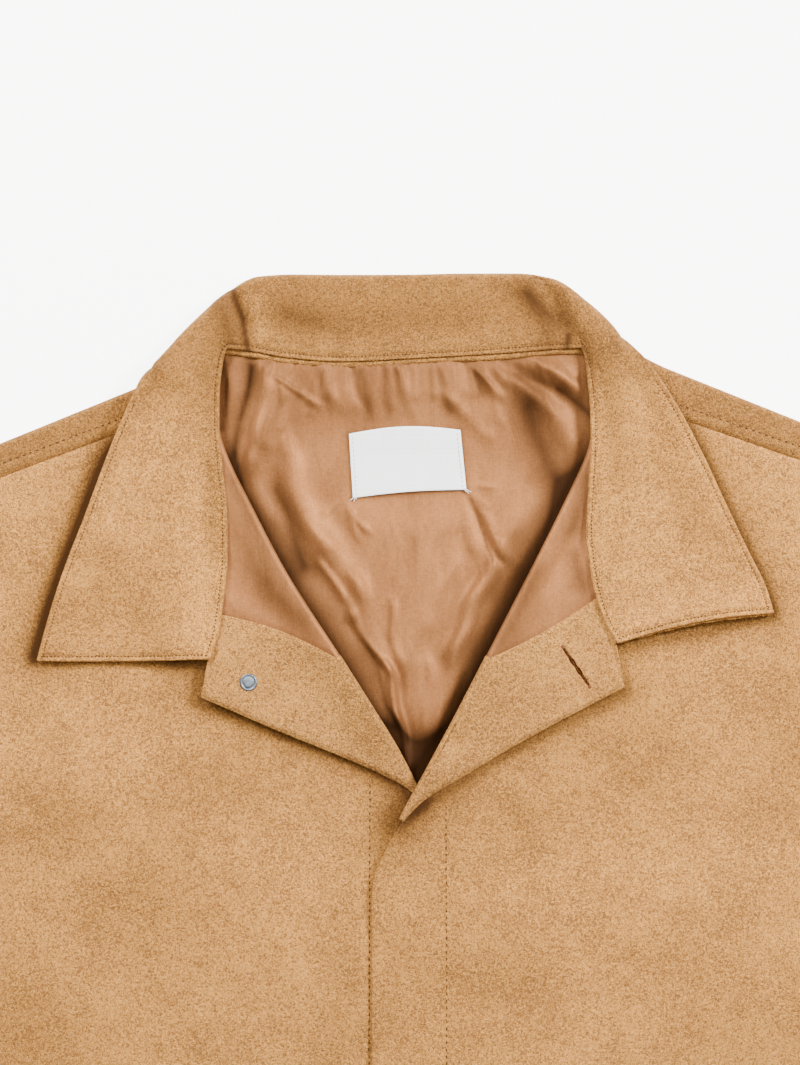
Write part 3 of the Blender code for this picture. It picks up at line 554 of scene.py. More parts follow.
def build_back(suede):
    """The back lies on the floor, and comes forward over the shoulders to the forward seams."""
    seam = curve(NECK_SEAM)
    outer = [24, 48, 72, NECK_END_X, 128, 165, 205, SHOULDER_X]
    columns = [-x for x in reversed(outer)] + [0] + outer

    def top_y(x):
        if abs(x) < 90:
            return table_value(seam, x) - GAP / 2
        return line_y((RIGHT if x < 0 else LEFT).shoulder, abs(x)) - FOLD_INSET

    shoulder_y = SIDE[-1][0]
    side_strip = FOLD_INSET + UNDER_STRIP + GAP
    rows = []
    for y, half_width in SIDE:
        share_up = (y - HEM_Y) / (shoulder_y - HEM_Y)
        half_width -= side_strip if y <= UNDERARM_Y else GAP / 2
        rise = [share_up * (1 - (x / SHOULDER_X) ** 8) if share_up < 1 else 1.0 for x in columns]
        rows.append([(x / SHOULDER_X * half_width, y + (top_y(x) - shoulder_y) * up)
                     for x, up in zip(columns, rise)])
    below, top = rows[-2], rows.pop()
    rows += [[mix(a, b, share) for a, b in zip(below, top)] for share in (0.35, 0.62, 0.82, 1.0)]
    grid = np.array([[(x, y, BACK_Z) for x, y in row] for row in rows])
    fine = refine(grid, 9.0, 3.0)
    fine[..., 2] = BACK_Z + neck_rise(fine[..., 0], fine[..., 1])
    grids = [fine]
    for half in (RIGHT, LEFT):
        edge = fine[-1][fine[-1, :, 0] * half.sign >= NECK_END_X - 0.1]
        (x0, y0), (x1, y1) = half.shoulder
        outward = unit((half.sign * (y0 - y1), x1 - x0))
        lines = []
        for x, y, z in edge:
            seam_y = line_y(half.forward_seam, abs(x)) + GAP / 2
            strip = [(x, y + (seam_y - y) * share, FRONT_Z) for share in np.linspace(0, 1, 15)[1:]]
            lines.append(half_round((x, y), outward, z, FRONT_Z, 10) + strip)
        over = sunk(settled(lines), seam_line(half), 1.3, 1.5)
        grids.append(sunk(over, lead_line(half), 0.45, 1.3))
    return shell("back_cloth", grids, SUEDE, suede)


def roll_frames(half, shares):
    """Centres of the roll and its outward directions, in plan, at shares of the roll line."""
    roll = np.array(curve(half.roll))
    reach = reaches(roll)
    shares = np.array(shares)

    def at(share):
        where = np.clip(share, 0, 1) * reach[-1]
        return np.stack([np.interp(where, reach, roll[:, axis]) for axis in (0, 1)], axis=1)

    run = at(shares + 0.03) - at(shares - 0.03)
    run /= np.linalg.norm(run, axis=1, keepdims=True)
    outward = np.stack([run[:, 1], -run[:, 0]], axis=1)
    return at(shares) - outward * ROLL_REACH, outward


def lapel_lift(half, x, y):
    """The turned lapel lies higher towards its front edge."""
    reach = distance(x, y, curve(half.roll, 4))
    return LAPEL_LIFT * np.clip((reach - ROLL_REACH - 0.5) / LIFT_REACH, 0, 1) * smooth(-118, -150, y)


def raised(half, plan, rise):
    """Set a plan grid on the front, at a rise above the front's middle."""
    x, y = plan[..., 0], plan[..., 1]
    z = FRONT_Z + front_rise(half, x, y) + rise + lapel_lift(half, x, y)
    return np.stack([x, y, z], axis=-1)


def rolled(half, centres, outwards, low, high, steps, lip=0.0):
    """The half round over a stretch of the roll, after a lip under the front if one is given."""
    lip_shares = (1.0, 0.75, 0.5, 0.25) if lip else ()
    under = []
    for share in lip_shares:
        place = centres - outwards * lip * share
        z = FRONT_Z + front_rise(half, place[:, 0], place[:, 1]) + low
        under.append(np.column_stack([place, z]))
    base = FRONT_Z + front_rise(half, centres[:, 0], centres[:, 1])
    lines = []
    for number, (centre, outward, z) in enumerate(zip(centres, outwards, base)):
        lip_points = [tuple(points[number]) for points in under]
        lines.append(lip_points + half_round(centre, outward, z + low, z + high, steps))
    return np.array(lines)


def on_half(half, grids):
    """A half's grids, whose x runs outwards, at their places on the garment."""
    placed = [np.array(grid, float) for grid in grids]
    for grid in placed:
        grid[..., 0] *= half.sign
    return [settled(grid) for grid in placed]


def cover_turn(half, shares):
    """The facing's or the lining's own half round over the roll, from its lip under the front."""
    centres, outwards = roll_frames(half, shares)
    return rolled(half, centres, outwards, -LIP_DROP, COVER_RISE, 12, LIP_WIDTH)


def lapel_lines(half, inset=0.0, under_collar=0.0):
    """The neck edge, the notch and the front edge of a turned lapel, in plan."""
    neck = np.array(curve([(x + under_collar - 0.9, y) for x, y in half.neck_edge]))
    corner = np.array(half.corner, float) + (-inset, inset)
    front = np.array(curve(half.front_edge)) + (-inset * 0.4, inset)
    front[0] = corner
    return neck, corner, front


def lapel_fill(half, shares, columns, part="all", inset=0.0, under_collar=0.0, extra_bow=0.0):
    """Plan grid of a turned lapel, of its lining down to the seam, or of its facing below the seam."""
    centres, _ = roll_frames(half, shares)
    neck, corner, front = lapel_lines(half, inset, under_collar)
    top_share = share_at(neck, (neck[0][0], half.roll[0][1] - 1.0))
    seam_share = share_at(neck, half.neck_seam)
    right_end = evenly(neck, seam_share, seam_share, 1)
    middle = np.linspace(0, 1, columns)[:, None]
    seam_start = centres[0 if part == "facing" else -1]
    seam_points = seam_start * (1 - middle) + right_end * middle
    seam_points[:, 1] += (half.seam_bow + extra_bow) * np.sin(math.pi * middle[:, 0])
    neck_start = evenly(neck, top_share, top_share, 1)
    top = centres[0] * (1 - middle) + neck_start * middle
    bottom = evenly([centres[-1], *front[::-1]], 0, 1, columns)
    if part == "lining":
        return filled(top, seam_points, centres, evenly(neck, top_share, seam_share, len(shares)))
    start = top_share if part == "all" else seam_share
    stretch = evenly(neck, start, 1.0, 40)
    right = evenly([*stretch, corner], 0, 1, len(shares))
    return filled(top if part == "all" else seam_points, bottom, centres, right)


# The first and the last of a front's rows that start on its roll.
ROLL_ROWS = (2, 12)


def front_rows(half, centres):
    """Inner and outer plan points of the front's rows, from the shoulder seam to the hem."""
    def outer(y):
        width = table_value(SIDE, y)
        return (width - (FOLD_INSET if y <= UNDERARM_Y else GAP / 2), y)

    (x0, y0), (x1, y1) = half.forward_seam
    rows = [((x0 + 0.5, y0 - GAP / 2), (x1 - GAP / 2, y1 - GAP / 2)), ((x0 + 0.2, -26), outer(-98))]
    heights = [-110, -130, -150, -172, -196, -220, -238, -256, -274, UNDERARM_Y, -310]
    rows += [(tuple(centre), outer(y)) for centre, y in zip(centres, heights)]
    edge_x = half.hem_edge[-1][0]
    rows += [(half.hem_edge[0], outer(-340)), (half.hem_edge[1], outer(-380))]
    for inner_y, outer_y in ((-330, -450), (-450, -520), (-570, -600), (HEM_Y, HEM_Y)):
        rows.append(((edge_x, inner_y), outer(outer_y)))
    return rows


def build_front(half, suede):
    """One front: its panel with the wrap round the side fold, and its lapel turned over the roll."""
    shares = np.concatenate((np.linspace(0, half.seam_end, 7), np.linspace(half.seam_end, 1, 5)[1:]))
    centres, outwards = roll_frames(half, shares)
    first, last = ROLL_ROWS
    coarse = []
    for number, (inner, outer) in enumerate(front_rows(half, centres)):
        second = mix(inner, outer, LIP_WIDTH / math.dist(inner, outer))
        if first <= number <= last:
            second = tuple(np.array(inner) - outwards[number - first] * LIP_WIDTH)
        plan = [inner] + [mix(second, outer, share) for share in (0, 0.07, 0.16, 0.3, 0.5, 0.72, 0.88, 1)]
        coarse.append([(x, y, FRONT_Z) for x, y in plan])
    coarse = np.array(coarse)
    knots = knots_of(coarse)
    cells = [FINE if row <= last else COARSE for row in range(len(knots) - 1)]
    at = samples_of(knots, cells)
    fine = eased(coarse, knots, at)
    on_roll = np.nonzero((at >= knots[first] - 1e-6) & (at <= knots[last] + 1e-6))[0]
    roll_shares = np.interp(at[on_roll], knots[first:last + 1], shares)
    fine_centres, fine_outwards = roll_frames(half, roll_shares)
    fine[on_roll, 0, :2] = fine_centres
    turned = np.swapaxes(fine, 0, 1)
    panel_knots = knots_of(turned)
    panel = np.swapaxes(eased(turned, panel_knots, samples_of(panel_knots, 2.4)), 0, 1)
    panel[..., 2] = FRONT_Z + front_rise(half, panel[..., 0], panel[..., 1])

    side = []
    for x, y, z in panel[:, -1]:
        if y <= UNDERARM_Y + 0.6:
            arc = half_round((x, y), (1.0, 0.0), BACK_Z, z, 8)[::-1]
            side.append(arc + [(x - UNDER_STRIP * share, y, BACK_Z) for share in (0.5, 1.0)])
    turn = rolled(half, fine_centres, fine_outwards, 0.0, LAPEL_RISE, 6)
    lapel = raised(half, lapel_fill(half, roll_shares, 44, inset=1.1), LAPEL_RISE)
    grids = on_half(half, (panel, side, turn, lapel))
    grids[0] = sunk(sunk(grids[0], seam_line(half), 1.6, 1.6), armhole_line(half), 0.8, 1.4)
    grids[0] = sunk(grids[0], mirrored(half, half.placket), 0.5, 1.4)
    return shell("front_cloth_" + half.name, grids, SUEDE, suede)


def edge_droop(points, line, depth, width):
    """A turned edge rolls down over the layer below it."""
    points[..., 2] -= depth * (1 - smooth(0.0, width, away_from(points, line)))
    return points


def build_facing(half, facing):
    shares = np.linspace(half.seam_end, 1, 80)
    plan = lapel_fill(half, shares, 110, "facing", under_collar=UNDER_COLLAR)
    cover = raised(half, plan, COVER_RISE)
    neck, corner, front = lapel_lines(half)
    cover = edge_droop(cover, [neck[-1], corner, *front[::4]], 1.1, 2.2)
    cover = edge_droop(cover, plan[0], 0.35, 1.8)
    grids = on_half(half, (cover, cover_turn(half, shares)))
    if half.name == "left":
        grids[0] = buttonhole_dent(grids[0])
    return shell("facing_cloth_" + half.name, grids, FACING, facing)


def buttonhole_dent(points):
    """A slit with a low lip on each side and drawn ends."""
    away = away_from(points, BUTTONHOLE)
    points[..., 2] += 0.55 * np.exp(-((away - 1.6) / 1.0) ** 2) - 0.7 * np.exp(-(away / 0.8) ** 2)
    for x, y in BUTTONHOLE:
        angle = np.arctan2(points[..., 1] - y, points[..., 0] - x)
        reach = np.hypot(points[..., 0] - x, points[..., 1] - y)
        points[..., 2] += 0.3 * np.cos(5 * angle) * np.exp(-((reach - 3.0) / 1.8) ** 2)
    return points


def build_lapel_lining(half, satin):
    """Satin on the upper part of the turned lapel, which runs under the collar and the facing."""
    shares = np.linspace(0, half.seam_end, 60)
    plan = lapel_fill(half, shares, 40, "lining", under_collar=UNDER_COLLAR, extra_bow=-1.2)
    cover = raised(half, plan, COVER_RISE)
    from_roll = smooth(2.0, 12.0, away_from(cover, curve(half.roll, 4)))
    cover[..., 2] += creased(cover[..., 0], cover[..., 1], half.folds, 1.0) * from_roll
    cover = edge_droop(cover, plan[-1], 0.6, 2.6)
    grids = on_half(half, (cover, cover_turn(half, shares)))
    return shell("lapel_lining_" + half.name, grids, SATIN, satin)


# ---- Neck ----

def lining_plan(columns):
    """Rows of the back's lining from the neck seam down, in plan."""
    seam = curve(NECK_SEAM)
    rows = []
    for drop in (-1.0, BINDING_WIDTH + GAP / 2):
        across = np.linspace(-93, 92, columns)
        rows.append([(x, table_value(seam, x) - drop) for x in across])
    rights = [(y, right) for y, right, _ in LINING_ROWS]
    lefts = [(y, left) for y, _, left in LINING_ROWS]
    for y in (-18, -30, -42, -56, -72, -88, -106, -126, -148, -172, -200, -238):
        across = np.linspace(table_value(rights, y), table_value(lefts, y), columns)
        rows.append([(x, y) for x in across])
    return np.array(rows)


def gathers():
    """Small uneven gathers that fan down from the neck seam."""
    chance = random.Random(7)
    table = []
    x = -70.0
    while x < 80:
        reach = chance.uniform(9, 30)
        lean = 0.22 * x * reach / 40 + chance.uniform(-2, 2)
        top = table_value(NECK_SEAM, x) - 3.0
        height, width = chance.uniform(0.3, 1.0), chance.uniform(1.2, 2.4)
        table.append(Crease(x, top, x + lean, top - reach, height, width))
        x += chance.uniform(3.2, 7.5)
    return table


def lining_base(x, y):
    """The back's top under its lining."""
    return LINING_Z + 1.12 * neck_rise(0.96 * x, y)


def lining_height(x, y):
    """The lining's middle, with its folds and gathers, held down at the fronts and by the label."""
    under_label = smooth(46, 30, np.abs(x)) * smooth(-84, -68, y) * smooth(-16, -36, y)
    to_front = np.abs(x) - 0.46 * np.minimum(y + 40, 0.0) + 6
    near_front = smooth(100, 84, to_front)
    dome = 2.4 * smooth(94, 44, to_front) * smooth(0, -46, y) * smooth(-212, -150, y)
    folds = 2.1 * creased(x, y, LINING_FOLDS) + 1.6 * creased(x, y, gathers(), 0.8)
    crumple = 0.12 * np.sin(x / 2.9 + 2.0 * np.sin(y / 9.0)) * np.sin(y / 12.0 + x / 17.0)
    loose = (1.3 + folds + crumple) * (1 - 0.85 * under_label) * near_front * smooth(4.0, -6.0, y)
    least = -0.45 - 0.9 * dome
    loose = least + 0.5 * np.logaddexp(0.0, (loose - least) / 0.5)
    return lining_base(x, y + 2) + dome + loose


def near(x, y, line, width):
    """One on a line, and fading to nothing a few widths away."""
    return np.exp(-(distance(x, y, line) / width) ** 1.4)


# Painted shade along the lining's creases, and painted highlights where the depth is below zero.
LINING_SHADE_STREAKS = named(Streak, [
    (-76, -4, -81, -30, 0.50, 2.6), (-81, -30, -84, -60, 0.42, 2.6), (-89, -2, -89, -34, 0.30, 2.4),
    (-62, -22, -69, -44, 0.18, 2.2), (-54, -16, -52, -40, 0.16, 5.0), (-64, -64, -48, -102, 0.38, 5.0),
    (-36, -60, -30, -96, 0.16, 5.0), (56, -8, 74, -15, 0.30, 4.2), (74, -15, 92, -28, 0.46, 3.4),
    (60, -24, 76, -66, 0.50, 10.0), (34, -6, 36, -18, 0.24, 3.4), (31, -69, 44, -99, 0.28, 1.1),
    (-22, -6, -18, -30, 0.20, 2.4), (-10, -6, -8, -28, 0.14, 2.0), (14, -6, 22, -26, 0.18, 2.4),
    (-44, -4, -40, -20, 0.14, 2.0), (-29, -122, -12, -152, 0.26, 1.8), (-12, -150, -9, -172, 0.24, 1.6),
    (-8, -172, 1, -194, 0.30, 1.8), (26, -108, 20, -146, 0.14, 4.0), (4, -74, 8, -90, 0.10, 7.0),
    (-14, -104, -18, -132, 0.12, 5.0), (8, -132, 0, -160, 0.12, 3.0), (-68, -10, -75, -40, -0.20, 3.0),
    (-54, -52, -42, -92, -0.14, 4.0), (68, -3, 88, -16, -0.22, 2.6), (-38, -96, -22, -116, -0.12, 3.4),
    (38, -110, 27, -140, -0.12, 3.4), (26, -142, 15, -176, -0.10, 3.4), (40, -20, 44, -34, -0.14, 3.0),
])


def streaked(x, y, table):
    """The darkest of a table's streaks at each place, less the lightest."""
    dark = light = 0.0
    for streak in table:
        tone = streak.depth * near(x + 1.2 * np.sin(y / 9.0), y, [streak[:2], streak[2:4]], streak.width)
        dark, light = np.maximum(dark, 1.25 * tone), np.minimum(light, tone)
    return dark + light


# Painted shade and painted highlights on a turned lapel's satin.
def lapel_painted_shade(half):
    return lambda x, y: 0.16 + streaked(half.sign * x, y, half.streaks)


def lining_painted_shade(x, y):
    """Painted shade on the lining: along its creases, below the neck seam, beside the rolls and deepest at
    the break, with painted highlights on its light streaks.
    """
    shade_sum = 0.10 + 0.34 * smooth(-62, 4, y) + streaked(x, y, LINING_SHADE_STREAKS)
    # A thin painted shadow round the label's edges.
    outline = [*LABEL_CORNERS, LABEL_CORNERS[0]]
    shade_sum = shade_sum + 0.34 * near(x, y, outline, 1.5)
    reach = 6.5 + 5.0 * smooth(-50, -110, y) - 5.0 * smooth(-140, -185, y)
    for half in (RIGHT, LEFT):
        beside = near(half.sign * x, y, curve(half.roll, 4), reach)
        shade_sum = shade_sum + half.roll_shade * beside * smooth(-18, -60, y)
    return shade_sum + 1.2 * smooth(-168, -208, y) * smooth(24, 6, np.abs(x - 3))


def with_painted_shade(made, shade):
    """Mark each point of a cloth with its painted shade, which its material mixes towards a dark colour."""
    place = np.empty(len(made.data.vertices) * 3, np.float32)
    made.data.vertices.foreach_get("co", place)
    place = place.reshape(-1, 3) / MM - (0, NECK_Y, 0)
    layer = made.data.attributes.new("shade", "FLOAT", "POINT")
    layer.data.foreach_set("value", np.clip(shade(place[:, 0], place[:, 1]), 0.0, 1.0).astype(np.float32))
    return made


def build_lining(satin):
    plan = lining_plan(41)
    flat = np.concatenate([plan, np.zeros((*plan.shape[:2], 1))], axis=2)
    fine = refine(flat, 1.15, 1.15)
    fine[..., 2] = lining_height(fine[..., 0], fine[..., 1])
    return with_painted_shade(shell("lining_cloth", [fine], SATIN, satin, 2), lining_painted_shade)


def build_binding(suede):
    """The narrow turned strip along the neck seam, as a soft roll under the collar's edge."""
    seam = curve(NECK_SEAM)
    across = np.linspace(-91, 90, 180)
    profile = [(-3.5, 0.4), (-1.4, 1.0), (0.1, 1.5), (0.9, 2.0), (1.7, 2.1), (2.4, 1.8), (2.9, 1.1),
               (3.1, 0.2)]
    rows = []
    for drop, lift in profile:
        row = []
        for x in across:
            y = table_value(seam, x) - drop + 0.25 * math.sin(x / 9.0)
            row.append((x, y, float(lining_base(x, 2.0)) + lift + 0.16 * math.sin(x / 2.3 + drop)))
        rows.append(row)
    return shell("neck_strip", [np.array(rows)], BINDING, suede)


def build_label(woven):
    """A plain woven label that its side stitches pull down."""
    top_right, top_left, bottom_left, bottom_right = LABEL_CORNERS
    rows = []
    for down in np.linspace(0, 1, 40):
        row = []
        for across in np.linspace(0, 1, 64):
            x, y = mix(mix(top_right, top_left, across), mix(bottom_right, bottom_left, across), down)
            y += LABEL_BOW * math.sin(math.pi * across) * (1 - 0.6 * down)
            z = float(lining_height(x, y)) + 1.0
            z += 0.55 * math.sin(math.pi * across) * (0.5 + 0.5 * math.cos(2 * math.pi * down))
            z += 0.12 * math.sin(across * 19 + down * 4) * math.sin(math.pi * across)
            row.append((x, y, z))
        rows.append(row)
    return shell("label_cloth", [np.array(rows)], LABEL, woven)


def collar_line(station):
    """One cross-section of the collar from its seam out over the bent strip to its far edge."""
    seam = (station.seam_x, station.seam_y)
    reach = (station.reach_x, station.reach_y)
    outward = unit((reach[0] - seam[0], reach[1] - seam[1]))
    bend = math.radians(station.bend)
    step = station.strip / STRIP_CELLS
    profile = [(0.0, 0.0)]
    for cell in range(STRIP_CELLS):
        angle = bend * (cell + 0.5) / STRIP_CELLS
        profile.append((profile[-1][0] + step * math.cos(angle), profile[-1][1] - step * math.sin(angle)))
    for _ in range(FALL_CELLS):
        step = station.fall / FALL_CELLS
        profile.append((profile[-1][0] + step * math.cos(bend), profile[-1][1] - step * math.sin(bend)))
    extent = max(reach_out for reach_out, _ in profile) + 1.1 * math.sin(min(bend, math.pi / 2))
    drop = -profile[STRIP_CELLS][1]
    top_z = 1.1 + drop
    if station.bend < 180:
        top_z = FRONT_Z + 2.6 + min(station.bend / 40, 1.0) * 1.4 + drop * 0.4
    flat = math.dist(seam, reach) - extent
    line = []
    for cell in range(STAND_CELLS):
        share = cell / STAND_CELLS
        z = station.seam_z + (top_z - station.seam_z) * float(smooth(0, 1, share))
        z += station.rise * math.sin(math.pi * share)
        line.append((seam[0] + outward[0] * flat * share, seam[1] + outward[1] * flat * share, z))
    for away, down in profile:
        out = flat + away
        line.append((seam[0] + outward[0] * out, seam[1] + outward[1] * out, top_z + down))
    return line


COLLAR_FOLDS = named(Crease, [
    (-85, 34, -76, 7, -3.4, 3.6), (-92, 26, -84, 3, 2.2, 4.0), (-70, 34, -66, 12, 0.9, 6.0),
    (66, 36, 84, 9, -2.6, 4.4), (80, 30, 90, 8, 1.8, 4.4), (56, 30, 62, 10, 0.6, 6.0),
    (-104, -16, -108, -142, 1.5, 8.0), (-124, -70, -138, -124, -0.7, 11.0),
    (-98, -30, -97, -90, -0.6, 4.0), (-136, -28, -162, -104, 5.6, 15.0),
    (-102, -140, -114, -143, 2.2, 9.0), (128, -20, 160, -88, 4.0, 13.0), (106, -20, 112, -80, 1.2, 9.0),
    (128, -66, 140, -112, -0.7, 11.0), (112, -84, 122, -126, -0.7, 9.0),
    (112, -133, 168, -123, 2.4, 8.0), (-40, 22, 30, 20, 0.5, 9.0), (-110, 6, -122, -20, 0.8, 8.0),
])


def collar_grid():
    lines = np.array([collar_line(station) for station in COLLAR_STATIONS])
    for line, lift in ((lines[-1], 2.8), (lines[0], -0.6)):
        share = np.linalg.norm(line[:, :2] - line[0, :2], axis=1)
        share /= share[-1]
        line[:, 1] += lift * np.sin(math.pi * share)
    along = [0.9 if row in (0, 1, len(lines) - 3, len(lines) - 2) else 1.8 for row in range(len(lines) - 1)]
    return refine(lines, along, 0.95, 3)


def walk(lines, depth):
    """The points a little way in from the start of each line."""
    points = []
    for line in lines:
        reach = reaches(line[:, :2])
        points.append([np.interp(depth, reach, line[:, axis]) for axis in (0, 1)])
    return np.array(points)


def collar_seams(fine):
    """Rows of stitches round the collar: the right leaf's edges, the left one's and the neck seam."""
    inner = walk(fine, 1.8)
    outer = walk(fine[:, ::-1], 1.9)
    low = walk(np.swapaxes(fine, 0, 1), 1.9)
    high = walk(np.swapaxes(fine[::-1], 0, 1), 1.9)
    right_leaf = [point for point in outer if point[0] < 0 and point[1] < -19.6]
    left_leaf = [point for point in outer if point[0] > 0 and point[1] < -9.8]
    return [right_leaf[::-1][:-1] + list(low[::-1][2:-2]), left_leaf[:-1] + list(high[::-1][2:-2]),
            list(inner[1:-1])]


def build_collar(suede):
    """The collar, with its fall folded under at the back and its leaves open on the fronts."""
    fine = collar_grid()
    seams = collar_seams(fine)
    x, y, z = fine[..., 0], fine[..., 1], fine[..., 2]
    on_top = smooth(3.6, 5.0, z)
    z = z + creased(x, y, COLLAR_FOLDS, 1.2) * on_top
    from_seam = distance(x, y, fine[::2, 0])
    cover = np.where(x < 0, lapel_lift(RIGHT, -x, y), lapel_lift(LEFT, x, y))
    wanted = np.where(y < -6, FRONT_Z + COVER_RISE + 0.5 + cover + 1.15, 7.6)
    fine[..., 2] = z + np.maximum(wanted - z, 0.0) * (1 - smooth(1.5, 15.0, from_seam)) * on_top
    for row in seams:
        fine = sunk(fine, np.array(row)[::2], 0.75, 1.0)
    fine = settled(fine)
    made = shell("collar_cloth", [fine], COLLAR, suede, 6)
    return made, seams, build_under_edge(fine, suede)


def build_under_edge(fine, suede):
    """The under collar shows past the left leaf's short edge, as a second raw edge."""
    edge, inside = fine[-1], fine[-7]
    away = (edge - inside) * (1, 1, 0)
    away /= np.linalg.norm(away, axis=1, keepdims=True)
    share = np.linspace(0, 1, len(edge))
    show = 1.5 * np.sin(math.pi * share) ** 0.4 + 0.18 * np.sin(share * 61) + 0.1 * np.sin(share * 137)
    rows = [edge + away * reach - (0, 0, 1.45) for reach in (-7.0, -4.0, -1.5)]
    rows += [edge + away * (show * part)[:, None] - (0, 0, 1.45 + 0.3 * part) for part in (0.4, 0.75, 1.0)]
    return shell("collar_under_edge", [np.array(rows)], UNDER_EDGE, suede)


# ---- Sleeves ----

SLEEVE_LENGTH = 505.0
SLEEVE_ANGLE = 45.0
CUFF_WIDTH = 125.0
CROWN = (160.0, -96.0)
LOWER_EDGE = 0.84
SLEEVE_WAVES = named(Crease, [
    (262, -110, 330, -150, 1.6, 12), (270, -230, 330, -210, 1.5, 10), (286, -262, 360, -262, 1.8, 9),
    (350, -180, 420, -330, 1.6, 18), (400, -310, 470, -280, 1.7, 10), (392, -360, 452, -356, 1.4, 9),
    (470, -260, 560, -350, 1.4, 14), (470, -410, 540, -420, 1.3, 10), (560, -400, 620, -470, 1.2, 12),
    (300, -150, 340, -240, 1.0, 16),
])


def build_sleeve(half, suede):
    """A flattened tube from the armhole to the cuff, open at both ends."""
    angle = math.radians(SLEEVE_ANGLE)
    across_cuff = (math.sin(angle), math.cos(angle))
    under = (table_value(SIDE, UNDERARM_Y), UNDERARM_Y)
    shoulder = (SHOULDER_X, line_y(half.shoulder, SHOULDER_X))
    lower_length = SLEEVE_LENGTH * LOWER_EDGE
    cuff_low = (under[0] + lower_length * math.cos(angle - 0.06),
                under[1] - lower_length * math.sin(angle - 0.06))
    cuff_high = (cuff_low[0] + across_cuff[0] * CUFF_WIDTH, cuff_low[1] + across_cuff[1] * CUFF_WIDTH)
    crown = (shoulder[0] + CROWN[0], shoulder[1] + CROWN[1])
    top = curve([shoulder, crown, mix(crown, cuff_high, 0.5), cuff_high])
    bottom = curve([under, mix(under, cuff_low, 0.5), cuff_low])
    armhole = [(x + GAP / 2, y) for y, x in SIDE[::-1] if UNDERARM_Y < y < -58]
    armhole.insert(0, (SHOULDER_X + 1.9, shoulder[1] - FOLD_INSET - GAP))
    armhole.append((under[0] + 0.9, under[1] + FOLD_INSET + GAP))
    lines = []
    for station in range(11):
        t = (station / 10) ** 1.1
        high, low = (tuple(evenly(line, t, t, 1)[0]) for line in (top, bottom))
        flat = []
        for x, y in armhole:
            share = (y - shoulder[1]) / (under[1] - shoulder[1])
            point, straight = mix(high, low, share), mix(shoulder, under, share)
            pull = (1 - t) ** 2
            flat.append((point[0] + (x - straight[0]) * pull, point[1] + (y - straight[1]) * pull, FRONT_Z))
        lines.append(flat)
    upper = refine(lines, 5.0, 4.0)
    lower = upper * (1, 1, 0) + (0, 0, BACK_Z)
    lower_edge, upper_edge = [], []
    for line in upper:
        cross = unit(tuple(line[0, :2] - line[-1, :2]))
        lower_edge.append(half_round(line[-1, :2], (-cross[0], -cross[1]), BACK_Z, FRONT_Z, 8)[::-1])
        upper_edge.append(half_round(line[0, :2], cross, BACK_Z, FRONT_Z, 8)[::-1])
    tube = [upper, np.array(lower_edge), lower, np.array(upper_edge)]
    for grid in tube:
        x, y, z = grid[..., 0], grid[..., 1], grid[..., 2]
        grid[..., 2] += creased(x, y, SLEEVE_WAVES, 3.0) * smooth(2.8, 5.0, z)
    grids = on_half(half, tube)
    cuff_row = shifted(mirrored(half, [cuff_low, cuff_high]), -CUFF_ROW * half.sign)
    grids[0] = sunk(sunk(grids[0], armhole_line(half), 0.8, 1.4), cuff_row, 0.3, 1.4)
    return shell("sleeve_cloth_" + half.name, grids, SUEDE, suede), cuff_row


def shifted(line, by):
    """A line moved to its left in plan."""
    points = np.array(line, float)[:, :2]
    run = np.gradient(points, axis=0)
    run /= np.linalg.norm(run, axis=1, keepdims=True)
    return points + by * np.stack([-run[:, 1], run[:, 0]], axis=1)


# ---- Stitches, buttonhole and rivet ----

# Rows of stitches: their pitch, the share of it that shows, and the threads' height and radius.
# A stitch's ends sway a little, and one over a steeper step than the last value is left out.
Stitch = namedtuple("Stitch", "pitch share lift radius")
COLLAR_STITCH = Stitch(1.8, 0.52, 0.08, 0.34)
FRONT_STITCH = Stitch(3.4, 0.5, 0.08, 0.32)
HEM_STITCH = Stitch(3.2, 0.72, 0.05, 0.2)
NECK_STITCH = Stitch(1.9, 0.66, 0.05, 0.2)
LABEL_STITCH = Stitch(2.0, 0.7, 0.05, 0.17)
SWAY = 0.12
STEEPEST = 1.2


def tops(objects):
    """Where cloth lies under a place, looking straight down."""
    depsgraph = bpy.context.evaluated_depsgraph_get()
    trees = [BVHTree.FromObject(made, depsgraph) for made in objects]

    def top(x, y):
        start = Vector((x * MM, (y + NECK_Y) * MM, 0.1))
        hits = [tree.ray_cast(start, Vector((0, 0, -1)))[0] for tree in trees]
        hits = [hit.z / MM for hit in hits if hit]
        return max(hits) if hits else None

    return top


def ring_faces(rings, sides, first=0):
    """Faces between rings of points, from each ring to the next."""
    faces = []
    for ring in range(rings - 1):
        for turn in range(sides):
            a = first + ring * sides + turn
            b = first + ring * sides + (turn + 1) % sides
            faces.append([a, b, b + sides, a + sides])
    return faces


def thread(name, strands, radius, material):
    """Short threads, each a bowed spindle between two points."""
    rings = [(0.0, 0.35, -1.0), (0.12, 0.85, -0.35), (0.5, 1.0, 0.15), (0.88, 0.85, -0.35), (1.0, 0.35, -1.0)]
    sides = 6
    points, faces = [], []
    for start, end in strands:
        start, end = np.array(start), np.array(end)
        length = np.linalg.norm(end - start)
        run = (end - start) / length
        side = np.cross(run, (0.0, 0.0, 1.0))
        side /= np.linalg.norm(side)
        up = np.cross(side, run)
        first = len(points)
        for share, size, rise in rings:
            centre = start + run * length * share + up * rise * radius
            for turn in range(sides):
                angle = 2 * math.pi * turn / sides
                points.append(centre + radius * size * (side * math.cos(angle) + up * math.sin(angle)))
        faces += ring_faces(len(rings), sides, first)
        last = first + (len(rings) - 1) * sides
        faces += [[first + turn for turn in reversed(range(sides))], [last + turn for turn in range(sides)]]
    return piece(name, points, faces, material)


